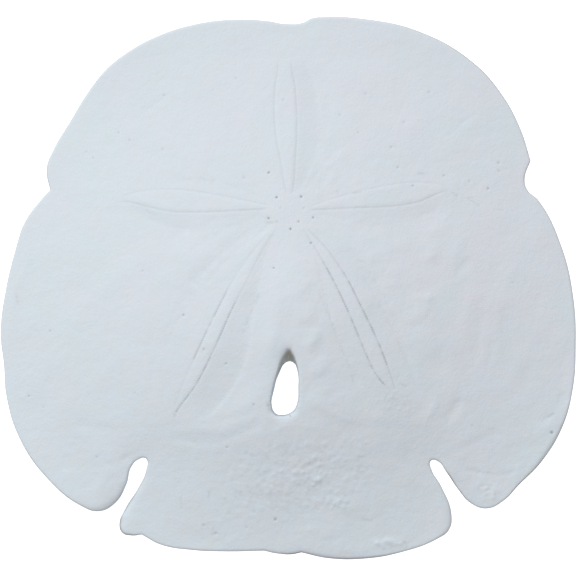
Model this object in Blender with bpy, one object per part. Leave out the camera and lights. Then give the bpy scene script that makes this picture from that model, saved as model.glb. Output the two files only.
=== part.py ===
"""Sand dollar: the bare white shell of a notched sand dollar, as one closed solid.

The tables below are in millimetres, seen from above the petals: +X to the right, +Y to the
front. The flat mouth side rests on z = 0 and the petals face +Z.
"""

import math

import bpy
import numpy as np
from mathutils.geometry import delaunay_2d_cdt

MM = 0.001
NAME = "sand_dollar"

# Overall form
PEAK = (-3.0, -11.0)
PEAK_HEIGHT = 12.7
RIM_HEIGHT = 3.0
RIM_SPREAD = 0.1
DOME_CENTRE = (0.0, -2.5)
DOME_HALF = (60.5, 57.5)
REAR_DROP = 0.4

# Rim: height of its widest line, roundings, and how the thin margin droops and lifts
RIM_DROP = 0.7
RIM_ROUND = 0.8
WIDE_ROUND = 1.5
WIDE_ROUND_AT = (-37.6, -43.6)
WIDE_ROUND_REACH = 4.0
MARGIN_DROOP = 0.3
MARGIN_REACH = 3.0
UNDER_LIFT = 0.45
UNDER_LIFT_REACH = 7.0
UNDER_ROUND = 0.85
UNDER_EDGE = 1.05

# Lunule, the keyhole behind the middle
LIP_ROUND = 1.0
LIP_DROP = 0.45
LUNULE_EDGE = 3.0

# Petals: the grooves along their inner edges, the middle band, and how far a zone runs out
GROOVE_DEPTH = 0.14
GROOVE_HALF = 0.42
BAND_RISE = 0.08
ZONE_REACH = 6.0

# Mouth side
MOUTH = (0.2, 10.5)
MOUTH_RADIUS = 2.0
MOUTH_DEPTH = 3.0
VENT = (-0.2, -11.0)
VENT_RADIUS = 1.2
VENT_DEPTH = 1.8
FOOD_DEPTH = 0.38
FOOD_HALF = 0.75

# Spacing of the facets
TOP_STEP = 2.5
UNDER_STEP = 3.6
PETAL_STEP = 1.9

CORNER = "corner"

# Rim outline: smooth points, with the few sharp corners marked
RIM = [
    (7.6, 56.5), (4.9, 56.2), (3.1, 55.3), (-0.5, 55.05), (-4.3, 55.65), (-10.5, 55.95),
    (-19.0, 55.05), (-28.0, 52.15), (-34.4, 48.5), (-38.2, 45.3), (-42.0, 40.35),
    (-45.3, 34.9), (-48.9, 28.8), (-50.35, 24.9), (-49.65, 20.35, CORNER), (-51.4, 18.5),
    (-55.0, 13.5), (-56.8, 8.1), (-58.9, -0.6), (-59.95, -9.3), (-59.25, -16.3),
    (-58.8, -22.3), (-56.0, -31.4), (-50.0, -40.0), (-43.0, -45.6), (-39.5, -46.65),
    (-36.1, -45.0), (-33.7, -41.0), (-32.7, -37.4), (-31.0, -35.7), (-29.6, -35.6),
    (-29.6, -38.2), (-31.2, -41.7), (-33.9, -46.0), (-35.2, -49.2), (-34.6, -51.1),
    (-32.6, -51.7), (-30.5, -51.5, CORNER), (-26.5, -53.6), (-20.0, -54.7), (-13.0, -55.0),
    (-5.0, -54.85, CORNER), (-2.5, -55.4), (0.6, -55.6), (2.8, -55.2, CORNER), (8.3, -56.4),
    (16.0, -56.5), (23.5, -55.2), (31.3, -52.3), (33.6, -50.5), (34.1, -47.2),
    (31.9, -41.3), (29.9, -37.9), (29.75, -36.1), (30.9, -36.0), (33.2, -38.7),
    (35.5, -42.1), (38.2, -45.0), (41.5, -46.05), (45.0, -44.4), (48.0, -41.3),
    (53.0, -36.15), (57.3, -28.9), (59.45, -20.8), (60.0, -13.0), (59.5, -2.0),
    (57.0, 8.7), (52.2, 18.3), (49.9, 20.4), (49.35, 22.6), (50.6, 26.5, CORNER),
    (48.6, 32.8), (44.7, 40.2), (38.3, 47.25), (27.0, 53.6), (15.0, 56.2),
]

# Lunule: where it is narrowest, and its wider upper edge, which reaches further forward
LUNULE = [
    (-0.1, -15.45), (1.2, -15.7), (1.95, -17.3), (2.17, -20.7), (1.75, -24.6), (0.8, -25.9),
    (-1.4, -26.55), (-2.6, -26.2), (-3.4, -24.3), (-2.95, -21.5), (-1.95, -18.1),
]
LUNULE_TOP = [
    (0.2, -12.8), (1.2, -13.8), (2.1, -16.0), (2.5, -18.3), (2.65, -20.8), (2.2, -24.8),
    (1.05, -26.4), (-1.3, -27.05), (-3.1, -26.6), (-3.95, -24.4), (-3.45, -21.3),
    (-2.5, -18.2), (-1.2, -14.9),
]

# Petals, each from the middle outwards: centre line, half width of the plain middle band,
# then the widths of the pore zones to its left and right
PETALS = {
    "front": [
        (0.3, 20.4, 0.75, 1.7, 1.5), (0.2, 22.7, 1.15, 3.2, 2.7), (0.0, 26.4, 1.55, 4.3, 4.2),
        (-0.3, 30.8, 2.1, 4.7, 4.9), (-0.5, 36.0, 2.35, 4.6, 4.9), (-0.6, 41.7, 2.1, 4.0, 4.1),
        (-0.7, 45.4, 1.55, 3.0, 3.5), (-0.8, 47.5, 1.0, 2.2, 2.6),
    ],
    "left": [
        (-3.8, 16.8, 0.35, 0.9, 1.1), (-10.0, 17.3, 1.1, 2.6, 2.4), (-17.7, 17.9, 1.9, 3.7, 2.7),
        (-23.6, 18.3, 2.2, 3.4, 2.1), (-28.8, 18.6, 1.8, 2.4, 1.1), (-31.7, 18.7, 1.05, 1.6, 0.9),
        (-33.8, 18.2, 0.2, 1.0, 1.0),
    ],
    "right": [
        (4.2, 16.4, 0.35, 0.8, 0.8), (8.8, 17.4, 0.9, 1.2, 1.7), (15.0, 18.5, 1.6, 1.5, 3.6),
        (21.3, 19.3, 2.1, 1.6, 4.1), (26.5, 20.0, 2.0, 1.6, 3.5), (30.7, 20.6, 1.1, 1.5, 3.1),
        (33.8, 20.8, 0.3, 1.0, 1.3),
    ],
    "rear_left": [
        (-3.5, 11.4, 0.4, 0.6, 0.9), (-6.7, 7.0, 0.85, 1.2, 4.2), (-9.9, 1.6, 1.25, 3.0, 6.0),
        (-13.2, -4.7, 1.35, 5.0, 6.4), (-16.6, -12.0, 1.5, 7.0, 6.7),
        (-20.1, -19.3, 1.3, 6.8, 6.5), (-23.0, -24.5, 0.55, 5.5, 4.5),
        (-24.2, -27.2, 0.1, 3.0, 3.0),
    ],
    "rear_right": [
        (4.2, 11.4, 0.5, 0.9, 0.6), (7.3, 7.4, 1.0, 3.6, 1.2), (10.9, 1.6, 1.35, 4.6, 2.9),
        (14.0, -4.7, 1.45, 5.4, 4.1), (16.8, -10.9, 1.65, 5.2, 4.1), (19.3, -16.8, 1.5, 5.0, 4.1),
        (21.3, -20.5, 0.75, 4.2, 3.2), (22.5, -22.8, 0.1, 3.0, 2.0),
    ],
}

# Depths of the left and the right pore zone, and how much of its depth each one regains at
# its outer edge
DEPTHS = {
    "front": (0.08, 0.34, 0.05, 0.20),
    "left": (0.20, 0.08, 0.10, 0.25),
    "right": (0.08, 0.24, 0.25, 0.10),
    "rear_left": (0.42, 0.21, 0.25, 0.15),
    "rear_right": (0.24, 0.18, 0.25, 0.30),
}

# Low mounds and hollows: x, y, reach along, reach across, turn in degrees, height
MOUNDS = [
    # Broad swellings before and behind the lunule
    (2.0, -3.0, 9.0, 9.0, 0, 0.35), (-4.0, -33.0, 12.0, 9.0, 0, 0.60),
    # Beads down the middle and right of it, and smaller swellings
    (1.4, 5.8, 1.8, 1.5, 0, 0.10), (1.8, 0.8, 2.2, 1.7, 0, 0.14), (3.2, -4.4, 2.0, 1.7, 0, 0.15),
    (4.4, -9.2, 1.9, 1.7, 0, 0.15), (6.2, -15.2, 2.1, 1.8, 0, 0.16), (7.2, -19.8, 1.8, 1.5, 60, 0.10),
    (-3.6, -11.5, 3.6, 1.8, 80, 0.20), (-2.2, -3.0, 5.0, 1.8, 84, 0.12), (9.8, -23.4, 3.0, 1.8, 10, 0.16),
    (-8.5, -24.0, 3.6, 1.9, 35, 0.16), (22.9, 8.6, 2.0, 1.6, 0, 0.10), (29.0, 8.4, 2.4, 1.8, 60, 0.10),
    (17.2, 7.4, 2.0, 1.5, 0, 0.07), (21.4, 2.2, 2.2, 1.7, 0, 0.10), (26.4, -3.2, 2.8, 2.0, 60, 0.13),
    (30.0, -25.6, 3.2, 1.5, 62, 0.12), (37.0, -6.0, 4.6, 1.6, 78, 0.08), (43.6, -5.6, 5.0, 1.6, 80, 0.07),
    (46.5, 3.0, 4.0, 1.8, 70, 0.07), (40.6, -19.0, 4.4, 1.5, 70, 0.08), (48.0, -16.0, 5.0, 1.8, 66, 0.08),
    (-33.0, 4.0, 5.0, 2.4, 30, 0.10), (-42.0, -4.0, 6.0, 2.6, 40, 0.10), (-38.0, -17.0, 6.0, 2.6, 50, 0.10),
    (-28.0, 31.0, 6.5, 2.6, -30, 0.08), (28.0, 34.0, 6.0, 2.8, 30, 0.08), (-46.0, -24.0, 5.0, 2.4, 60, 0.10),
    (-38.6, -40.4, 3.6, 1.6, 62, 0.12), (18.0, -31.5, 4.0, 2.2, 10, 0.12), (-2.0, -42.0, 4.5, 2.4, 20, 0.12),
    (12.0, -46.0, 4.2, 2.4, 0, 0.12), (20.5, -53.0, 3.2, 1.6, 12, 0.14), (8.0, -50.5, 6.0, 1.8, 4, 0.10),
    (-16.5, -49.5, 3.0, 1.8, 0, 0.10), (34.0, -38.0, 3.0, 1.4, -58, 0.10), (42.0, -42.4, 1.7, 1.7, 0, -0.12),
]

# Ridges and folds: a line of places, how wide it is, its height
RIDGES = [
    ([(-2.6, 13.6), (-6.2, 12.3), (-9.2, 10.8), (-12.6, 8.2), (-16.8, 4.4), (-20.3, 0.0)], 1.2, -0.16),
    ([(-24.6, -31.7), (-15.9, -32.0), (-12.1, -31.1), (-8.8, -29.8), (-5.0, -27.5)], 1.2, -0.16),
    ([(3.4, -22.6), (8.6, -25.2), (12.7, -26.9), (18.1, -27.5), (23.4, -27.2), (29.8, -28.0)], 1.4, 0.14),
    ([(9.6, 33.6), (8.6, 31.2), (6.7, 28.0), (5.2, 24.6), (3.6, 21.0)], 1.2, 0.08),
    ([(36.6, -22.6), (33.9, -26.2), (31.9, -28.8)], 1.3, -0.15),
    ([(40.3, -1.7), (39.9, -8.3), (38.9, -14.0), (36.8, -18.4)], 1.2, -0.09),
    ([(58.2, -21.4), (55.0, -25.6), (52.0, -28.9)], 1.2, -0.09),
    ([(-44.6, -28.7), (-40.1, -29.1), (-35.0, -30.0)], 1.1, -0.10),
    ([(-48.2, -37.3), (-43.4, -37.4), (-39.2, -37.0), (-35.1, -36.3)], 1.1, -0.10),
    ([(34.6, -33.9), (39.9, -31.9), (44.4, -29.7)], 1.1, -0.08),
]

# Food grooves of the mouth side, right half; the left half mirrors them about the middle
FOOD_GROOVES = [
    [(0.2, 12.0), (0.2, 16.0), (3.6, 22.0), (7.4, 31.0), (8.4, 40.0), (7.2, 49.0)],
    [(1.8, 11.0), (6.5, 13.2), (15.0, 18.4), (27.0, 25.6), (40.0, 31.5)],
    [(6.5, 13.2), (16.0, 12.6), (30.0, 11.6), (47.0, 12.0)],
    [(1.2, 8.9), (3.8, 5.2), (12.0, -4.0), (25.0, -15.5), (35.0, -25.5), (43.5, -37.0)],
    [(3.8, 5.2), (8.6, -6.0), (14.6, -20.0), (19.8, -34.0), (23.4, -46.5)],
]


def clear_scene():
    for thing in list(bpy.data.objects):
        bpy.data.objects.remove(thing, do_unlink=True)


def collection(name, hidden=False):
    made = bpy.data.collections.new(name)
    made.hide_render = hidden
    bpy.context.scene.collection.children.link(made)
    return made


def outline(name, places, pieces, guides):
    """A closed smooth curve through the places, as a run of points."""
    data = bpy.data.curves.new(name, "CURVE")
    data.dimensions = "2D"
    data.fill_mode = "NONE"
    data.resolution_u = pieces
    line = data.splines.new("BEZIER")
    line.bezier_points.add(len(places) - 1)
    line.use_cyclic_u = True
    for point, place in zip(line.bezier_points, places):
        kind = "VECTOR" if CORNER in place else "AUTO"
        point.co = (place[0], place[1], 0)
        point.handle_left_type = kind
        point.handle_right_type = kind
    guide = bpy.data.objects.new(name, data)
    guide.hide_render = True
    guide.display_type = "WIRE"
    guides.objects.link(guide)
    bpy.context.view_layer.update()
    run = np.array([v.co[:2] for v in guide.to_mesh().vertices], float)
    guide.to_mesh_clear()
    guide.scale = (MM, MM, MM)
    return run


def smooth_rows(rows, step):
    """Rows of a table, run through smoothly about one step apart."""
    rows = np.array(rows, float)
    ends = np.vstack([2 * rows[0] - rows[1], rows, 2 * rows[-1] - rows[-2]])
    runs = []
    for a, b, c, d in zip(ends, ends[1:], ends[2:], ends[3:]):
        count = max(1, round(math.dist(b[:2], c[:2]) / step))
        t = np.linspace(0, 1, count, endpoint=False)[:, None]
        bend = (2 * a - 5 * b + 4 * c - d) * t**2 + (3 * b - a - 3 * c + d) * t**3
        runs.append(0.5 * (2 * b + (c - a) * t + bend))
    return np.vstack(runs + [rows[-1:]])


def nearest(x, y, line):
    """The nearest place on an open line: (segment number and part, offset, + to the left)."""
    a = line[:-1, :2]
    run = line[1:, :2] - a
    px = x[:, None] - a[:, 0]
    py = y[:, None] - a[:, 1]
    part = (px * run[:, 0] + py * run[:, 1]) / (run**2).sum(1)
    part = np.clip(part, 0, 1)
    away = np.hypot(px - part * run[:, 0], py - part * run[:, 1])
    best = away.argmin(1)
    row = np.arange(len(x))
    turn = run[best, 0] * py[row, best] - run[best, 1] * px[row, best]
    return best + part[row, best], np.where(turn < 0, -1.0, 1.0) * away[row, best]


def inside(x, y, loop):
    """Which places lie inside a closed loop."""
    a = loop
    b = np.roll(loop, -1, axis=0)
    spans = (a[:, 1] > y[:, None]) != (b[:, 1] > y[:, None])
    rise = np.where(b[:, 1] == a[:, 1], 1.0, b[:, 1] - a[:, 1])
    cross = a[:, 0] + (y[:, None] - a[:, 1]) / rise * (b[:, 0] - a[:, 0])
    return (spans & (x[:, None] < cross)).sum(1) % 2 == 1


def loop_gap(x, y, loop):
    """Distance to a closed loop."""
    closed = np.vstack([loop, loop[:1]])
    return np.abs(nearest(x, y, closed)[1])


def smooth(t):
    t = np.clip(t, 0, 1)
    return t * t * (3 - 2 * t)


def quarter(t):
    """Quarter round: 0 at the edge, 1 where it runs out."""
    return np.sqrt(1 - (1 - np.clip(t, 0, 1)) ** 2)


def dome(x, y):
    """The low cone-like rise from the rim to the peak."""
    dx = x - PEAK[0]
    dy = y - PEAK[1]
    cx = PEAK[0] - DOME_CENTRE[0]
    cy = PEAK[1] - DOME_CENTRE[1]
    a = (dx / DOME_HALF[0]) ** 2 + (dy / DOME_HALF[1]) ** 2
    b = cx * dx / DOME_HALF[0] ** 2 + cy * dy / DOME_HALF[1] ** 2
    c = (cx / DOME_HALF[0]) ** 2 + (cy / DOME_HALF[1]) ** 2 - 1
    reach = (-b + np.sqrt(b * b - a * c)) / np.maximum(a, 1e-9)
    part = 1 / np.maximum(reach, 1e-9)
    drop = 1 - part**1.6
    rise = (PEAK_HEIGHT - RIM_HEIGHT) * (0.5 * (drop + np.hypot(drop, RIM_SPREAD))) ** 1.4
    tail = smooth((-25.0 - y) / 13.0) * smooth((36.0 - np.abs(x)) / 12.0)
    return RIM_HEIGHT + rise - REAR_DROP * tail * smooth((y + 62.0) / 22.0)


def pore_zone(out, width, regain):
    """Share of its depth that a pore zone has at each distance from the inner edge."""
    fall = 1 - (1 - np.clip(out / np.maximum(0.92 * width, 0.3), 0, 1)) ** 1.3
    wall = 1 - regain * smooth((out - width + 0.3) / 0.6)
    return fall * wall * smooth(1 - (out - width) / ZONE_REACH) * smooth(width / 2.5)


def petal_relief(x, y, petal, depths):
    """Sunken pore zones, grooves along their inner edges and the plain raised band."""
    at, offset = nearest(x, y, petal)
    row = np.clip(at.astype(int), 0, len(petal) - 2)
    part = (at - row)[:, None]
    _, _, band, left, right = (petal[row] * (1 - part) + petal[row + 1] * part).T
    share = at / (len(petal) - 1)
    ends = smooth(share / 0.05) * smooth((1 - share) / 0.10)
    out = np.abs(offset) - band
    side = offset > 0
    zone = pore_zone(out, np.where(side, left, right), np.where(side, depths[2], depths[3]))
    groove = np.exp(-((out / GROOVE_HALF) ** 2)) * smooth(band / 0.5)
    rise = BAND_RISE * smooth(-out / 0.8)
    return ends * (rise - np.where(side, depths[0], depths[1]) * zone - GROOVE_DEPTH * groove)


def mound_relief(x, y):
    total = np.zeros_like(x)
    for mx, my, along, across, turn, height in MOUNDS:
        c = math.cos(math.radians(turn))
        s = math.sin(math.radians(turn))
        u = ((x - mx) * c + (y - my) * s) / along
        v = ((y - my) * c - (x - mx) * s) / across
        total += height * np.exp(-(u * u + v * v))
    return total


def ridge_relief(x, y):
    total = np.zeros_like(x)
    for places, width, height in RIDGES:
        line = smooth_rows(places, 2.0)
        at, offset = nearest(x, y, line)
        ends = smooth(at / 2.0) * smooth((len(line) - 1 - at) / 2.0)
        total += height * ends * np.exp(-((offset / width) ** 2))
    return total


def upper_side(x, y, shape):
    """Height of the petal side at each place."""
    rim_gap = loop_gap(x, y, shape["rim"])
    high = dome(x, y) - MARGIN_DROOP * np.exp(-rim_gap / MARGIN_REACH)
    for name, petal in shape["petals"].items():
        high += petal_relief(x, y, petal, DEPTHS[name])
    high += mound_relief(x, y) + ridge_relief(x, y)
    far = np.hypot(x - WIDE_ROUND_AT[0], y - WIDE_ROUND_AT[1])
    wide = RIM_ROUND + WIDE_ROUND * np.exp(-((far / WIDE_ROUND_REACH) ** 2))
    drop = RIM_DROP * (wide / RIM_ROUND) ** 0.8
    high -= drop * (1 - quarter(rim_gap / wide))
    # The lunule: a rounded lip, then a wall down to its narrowest line
    top_gap = loop_gap(x, y, shape["lunule_top"])
    within = inside(x, y, shape["lunule_top"])
    lip = high - LIP_DROP * (1 - quarter(top_gap / LIP_ROUND))
    hole_gap = loop_gap(x, y, shape["lunule"])
    climb = hole_gap / np.maximum(hole_gap + top_gap, 1e-6)
    wall = LUNULE_EDGE + (high - LIP_DROP - LUNULE_EDGE) * climb
    return np.where(within, wall, lip)


def pit(x, y, centre, radius, depth):
    away = np.hypot(x - centre[0], y - centre[1]) / radius
    return depth * smooth((1.0 - away) / 0.45)


def food_relief(x, y, grooves):
    total = np.zeros_like(x)
    for line in grooves:
        at, offset = nearest(x, y, line)
        fade = smooth((len(line) - 1 - at) / (0.35 * len(line)))
        total = np.maximum(total, fade * np.exp(-((offset / FOOD_HALF) ** 2)))
    return FOOD_DEPTH * np.where(total > 0.06, total, 0.0)


def lower_side(x, y, shape):
    """Height of the flat mouth side at each place: 0 but for its grooves, pits and edges."""
    rim_gap = loop_gap(x, y, shape["rim"])
    low = UNDER_LIFT * smooth((UNDER_LIFT_REACH - rim_gap) / UNDER_LIFT_REACH) ** 2
    low = np.where(rim_gap > UNDER_LIFT_REACH - 0.5, 0.0, low)
    low += (UNDER_EDGE - UNDER_LIFT) * (1 - quarter(rim_gap / UNDER_ROUND))
    hole_gap = loop_gap(x, y, shape["lunule"])
    low += UNDER_EDGE * (1 - quarter(hole_gap / UNDER_ROUND))
    low += food_relief(x, y, shape["grooves"])
    low += pit(x, y, MOUTH, MOUTH_RADIUS, MOUTH_DEPTH)
    return low + pit(x, y, VENT, VENT_RADIUS, VENT_DEPTH)


def inset(loop, by):
    """The places of a loop moved inwards, and which of them don't crowd at a sharp turn."""
    run = np.roll(loop, -1, axis=0) - loop
    run /= np.linalg.norm(run, axis=1)[:, None]
    ahead = run + np.roll(run, 1, axis=0)
    ahead /= np.linalg.norm(ahead, axis=1)[:, None]
    moved = loop + by * np.c_[-ahead[:, 1], ahead[:, 0]]
    gap = loop_gap(moved[:, 0], moved[:, 1], loop)
    return moved, gap >= abs(by) * 0.85


def beside(line, offsets):
    """Rows of places beside a line, one row per offset column."""
    ahead = np.gradient(line[:, :2], axis=0)
    ahead /= np.linalg.norm(ahead, axis=1)[:, None]
    side = np.c_[-ahead[:, 1], ahead[:, 0]]
    return np.vstack([line[:, :2] + side * np.asarray(off)[:, None] for off in offsets])


def petal_places(petal):
    """Places along the grooves of a petal and along the outer edges of its pore zones."""
    line = petal[1:-1]
    band, left, right = line[:, 2], line[:, 3], line[:, 4]
    groove = [band + d for d in (-0.5, 0.0, 0.5)]
    rows = groove + [-row for row in groove]
    rows += [band + left * share for share in (0.75, 1.15)]
    rows += [-(band + right * share) for share in (0.75, 1.15)]
    wide = line[:, 2] > 0.55
    places = [beside(line, [row])[wide] for row in rows[:6]]
    places += [beside(line, [row]) for row in rows[6:]]
    return np.vstack(places)


def honeycomb(step):
    rows = []
    for number, y in enumerate(np.arange(-60.0, 60.0, step * math.sqrt(3) / 2)):
        x = np.arange(-62.0, 62.0, step) + (number % 2) * step / 2
        rows.append(np.c_[x, np.full(len(x), y)])
    return np.vstack(rows)


def thin(places, kept, room):
    """Those places that keep their room from the ones already kept."""
    out = []
    for start in range(0, len(places), 500):
        part = places[start : start + 500]
        away = np.linalg.norm(part[:, None] - kept[None], axis=2).min(1)
        out.append(part[away > room])
    return np.vstack(out)


def ring_lines(rings):
    """The places of some rings, and the lines that run along each of them."""
    places, lines = [], []
    for ring, good in rings:
        number = sum(len(part) for part in places) + np.cumsum(good) - 1
        follow = good & np.roll(good, -1)
        lines += list(zip(number[follow], np.roll(number, -1)[follow]))
        places.append(ring[good])
    return np.vstack(places), [(int(a), int(b)) for a, b in lines]


def plan(shape, rings, pits, feature_rows, room, step):
    """Places of one side: both edges first, then rings, features and a honeycomb."""
    rim, hole = shape["rim"], shape["lunule"]
    edges = [(loop, np.full(len(loop), True)) for loop in (rim, hole)]
    ringed, lines = ring_lines(edges + rings)
    kept = [np.vstack([ringed] + pits)]
    for rows in feature_rows:
        ok = inside(rows[:, 0], rows[:, 1], rim) & ~inside(rows[:, 0], rows[:, 1], hole)
        kept.append(thin(rows[ok], np.vstack(kept), room))
    grid = honeycomb(step)
    ok = inside(grid[:, 0], grid[:, 1], rim) & ~inside(grid[:, 0], grid[:, 1], hole)
    kept.append(thin(grid[ok], np.vstack(kept), step * 0.62))
    return np.vstack(kept), lines


def triangles(places, lines, rim_count, hole_count):
    """Triangles of the plan between the rim and the lunule."""
    found = delaunay_2d_cdt([tuple(p) for p in places], lines, [], 1, 1e-6)
    points = np.array([tuple(p) for p in found[0]])
    faces = np.array([tuple(f) for f in found[2]])
    middle = points[faces].mean(axis=1)
    hole = points[rim_count : rim_count + hole_count]
    return points, faces[~inside(middle[:, 0], middle[:, 1], hole)]


def counter_clockwise(loop):
    x, y = loop.T
    area = (x * np.roll(y, -1) - np.roll(x, -1) * y).sum()
    return loop if area > 0 else loop[::-1]


def build_shape(guides):
    shape = {
        "rim": counter_clockwise(outline("rim_guide", RIM, 3, guides)),
        "lunule": counter_clockwise(outline("lunule_guide", LUNULE, 2, guides)),
        "lunule_top": counter_clockwise(outline("lunule_top_guide", LUNULE_TOP, 2, guides)),
        "petals": {name: smooth_rows(rows, PETAL_STEP) for name, rows in PETALS.items()},
        "grooves": [],
    }
    for places in FOOD_GROOVES:
        for side in (1, -1):
            mirrored = [(side * (x - MOUTH[0]) + MOUTH[0], y) for x, y in places]
            shape["grooves"].append(smooth_rows(mirrored, 3.0))
    return shape


def ring_places(centre, radius, count):
    turn = np.arange(count) * 2 * math.pi / count
    return np.c_[centre[0] + radius * np.cos(turn), centre[1] + radius * np.sin(turn)]


def upper_places(shape):
    top = shape["lunule_top"]
    rings = [inset(shape["rim"], by) for by in (0.25, 0.85)]
    rings += [inset(top, by) for by in (0, -0.4, -1.1)]
    rows = [inset(shape["rim"], 2.6)[0][::2]]
    rows += [petal_places(petal) for petal in shape["petals"].values()]
    return plan(shape, rings, [], rows, 0.45, TOP_STEP)


def lower_places(shape):
    pits = []
    for centre, radius in ((MOUTH, MOUTH_RADIUS), (VENT, VENT_RADIUS)):
        pits += [ring_places(centre, radius * part, 12) for part in (1.0, 0.55)]
        pits += [np.array([centre])]
    rings = [inset(shape["rim"], by) for by in (0.25, 0.9)]
    rings += [inset(shape["lunule"], by) for by in (-0.25, -0.95)]
    rows = [inset(shape["rim"], 6.7)[0][::4]]
    for line in shape["grooves"]:
        rows += [beside(line, [np.full(len(line), off)]) for off in (0.0, -1.3, 1.3)]
    return plan(shape, rings, pits, rows, 1.0, UNDER_STEP)


def closed_mesh(shape):
    """Upper and lower skins, joined by the wall of the rim and of the lunule."""
    rim_count, hole_count = len(shape["rim"]), len(shape["lunule"])
    edge = rim_count + hole_count
    up_xy, up_faces = triangles(*upper_places(shape), rim_count, hole_count)
    low_xy, low_faces = triangles(*lower_places(shape), rim_count, hole_count)
    up = np.c_[up_xy, upper_side(up_xy[:, 0], up_xy[:, 1], shape)]
    low = np.c_[low_xy, lower_side(low_xy[:, 0], low_xy[:, 1], shape)]
    shift = len(up)
    faces = [tuple(f) for f in up_faces]
    faces += [tuple(shift + i for i in f[::-1]) for f in low_faces]
    for start, count, turn in ((0, rim_count, 1), (rim_count, hole_count, -1)):
        for i in range(count):
            a, b = start + i, start + (i + 1) % count
            if turn < 0:
                a, b = b, a
            faces += [(a, shift + a, shift + b), (a, shift + b, b)]
    print("rim places", edge, "upper", len(up_faces), "lower", len(low_faces), "all", len(faces))
    return np.vstack([up, low]), faces


def white_chalky():
    made = bpy.data.materials.new("chalky_white")
    made.use_nodes = True
    shader = made.node_tree.nodes["Principled BSDF"]
    shader.inputs["Base Color"].default_value = (0.70, 0.74, 0.78, 1)
    shader.inputs["Roughness"].default_value = 0.85
    shader.inputs["Metallic"].default_value = 0.0
    return made


def build():
    clear_scene()
    part = collection("sand_dollar_part")
    guides = collection("guides", hidden=True)
    points, faces = closed_mesh(build_shape(guides))
    mesh = bpy.data.meshes.new(NAME)
    mesh.from_pydata([tuple(p * MM) for p in points], [], faces)
    mesh.validate()
    mesh.materials.append(white_chalky())
    part.objects.link(bpy.data.objects.new(NAME, mesh))


build()
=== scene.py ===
"""A bleached sand dollar seen from straight above its petal side, on a plain white table.

The tables are in millimetres, +X to the right and +Y to the front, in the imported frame.
"""

import math

import bpy
import numpy as np
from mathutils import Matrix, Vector
from mathutils.geometry import delaunay_2d_cdt
from mathutils.kdtree import KDTree


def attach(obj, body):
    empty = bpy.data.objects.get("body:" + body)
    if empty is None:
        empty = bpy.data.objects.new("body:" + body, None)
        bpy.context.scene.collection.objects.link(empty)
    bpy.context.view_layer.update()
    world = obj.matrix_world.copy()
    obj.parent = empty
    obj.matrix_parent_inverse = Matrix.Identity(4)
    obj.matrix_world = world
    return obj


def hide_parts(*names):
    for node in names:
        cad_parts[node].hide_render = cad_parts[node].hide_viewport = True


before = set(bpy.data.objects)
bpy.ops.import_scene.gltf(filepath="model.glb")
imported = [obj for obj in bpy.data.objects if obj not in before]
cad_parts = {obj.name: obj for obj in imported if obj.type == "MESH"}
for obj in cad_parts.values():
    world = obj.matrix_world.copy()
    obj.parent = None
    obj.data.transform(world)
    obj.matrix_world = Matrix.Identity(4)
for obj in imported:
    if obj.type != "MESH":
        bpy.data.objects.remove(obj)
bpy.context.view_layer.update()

MM = 0.001
CORNER = "corner"

# What the mesh tells its material: dark pores, the rim's painted edge shade with some stains, and
# the painted shade of the lunule wall
MARK_NAMES = ("ink", "rim_shade_and_stain", "painted_wall_shade")

# Overall form
PEAK = (-3.0, -11.0)
PEAK_HEIGHT = 12.7
RIM_HEIGHT = 3.0
RIM_SPREAD = 0.1
DOME_CENTRE = (0.0, -2.5)
DOME_HALF = (60.5, 57.5)
REAR_DROP = 0.4

# Rim: its rounding above, how the thin margin droops and lifts, and a faint grey of painted shade
# along its edge
RIM_DROP = 0.46
RIM_ROUND = 0.44
MARGIN_DROOP = 0.3
MARGIN_REACH = 3.0
RIM_EDGE_SHADE = 0.03
UNDER_LIFT = 0.45
UNDER_LIFT_REACH = 7.0
UNDER_ROUND = 0.85
UNDER_EDGE = 1.05

# Lunule, the keyhole behind the middle: its rounded lip, and the painted tan shade on its front wall
# and lip
LIP_ROUND = 0.8
FRONT_LIP = 0.8
LIP_DROP = 0.3
LUNULE_EDGE = 3.0
REAR_LIP = 0.5
PAINTED_WALL_SHADE_SHARE = 0.70
PAINTED_LIP_SHADE_SHARE = 0.16

# Petals: the groove along each inner edge, its open row of pores, and the middle band
GROOVE_HALF = 0.24
PORE_DEPTH = 0.22
PORE_HALF = 0.17
PORE_PITCH = 0.52
ZONE_REACH = 6.0
BAND_RISE = 0.045
ZONE_INK = 0.06

# Mouth side: the mouth and the vent, each a place, a radius and a depth, and the food grooves
MOUTH = (0.2, 10.5)
PITS = [(MOUTH, 2.0, 3.0), ((-0.2, -11.0), 1.2, 1.8)]
FOOD_DEPTH = 0.38
FOOD_HALF = 0.62

# How dark the pits of the crusty patches are
CRUST_INK = 0.08

# Spacing of the mesh, from the finest marks to the plain parts
FINE_STEP = 0.22
ROUGH_STEP = 0.36
PLAIN_STEP = 0.56
UNDER_STEP = 1.7
UNDER_FINE_STEP = 0.42

# Rows of the mesh along the inner edges of the petals, where the middle band is wide enough
ROW_OFFSETS = (-0.30, -0.14, 0.0, 0.14, 0.30)
ROW_STEP = 0.17
ROW_ROOM = 0.40
NARROWEST_BAND = 0.32

# Rings of the mesh inside the rim and round the lunule, above and below
RIM_RINGS = (0.05, 0.13, 0.26, 0.45, 0.75)
LIP_RINGS = (0, 0.07, 0.18, 0.38, 0.7, 1.1)
UNDER_RINGS = (0.12, 0.36, 0.85)

# Share of a pore zone's width at which its outer row of pores runs
OUTER_ROW = 0.97

# Crusts higher than this get a finer mesh and dark pits, and folds narrower than this get
# a finer mesh
CRUST_PLAIN = 0.04
FOLD_PLAIN = 0.55

# How far off the rim and the lunule are still measured, and how many places at a time
RIM_FAR = 15.0
LUNULE_FAR = 6.0
BATCH = 4000

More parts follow.
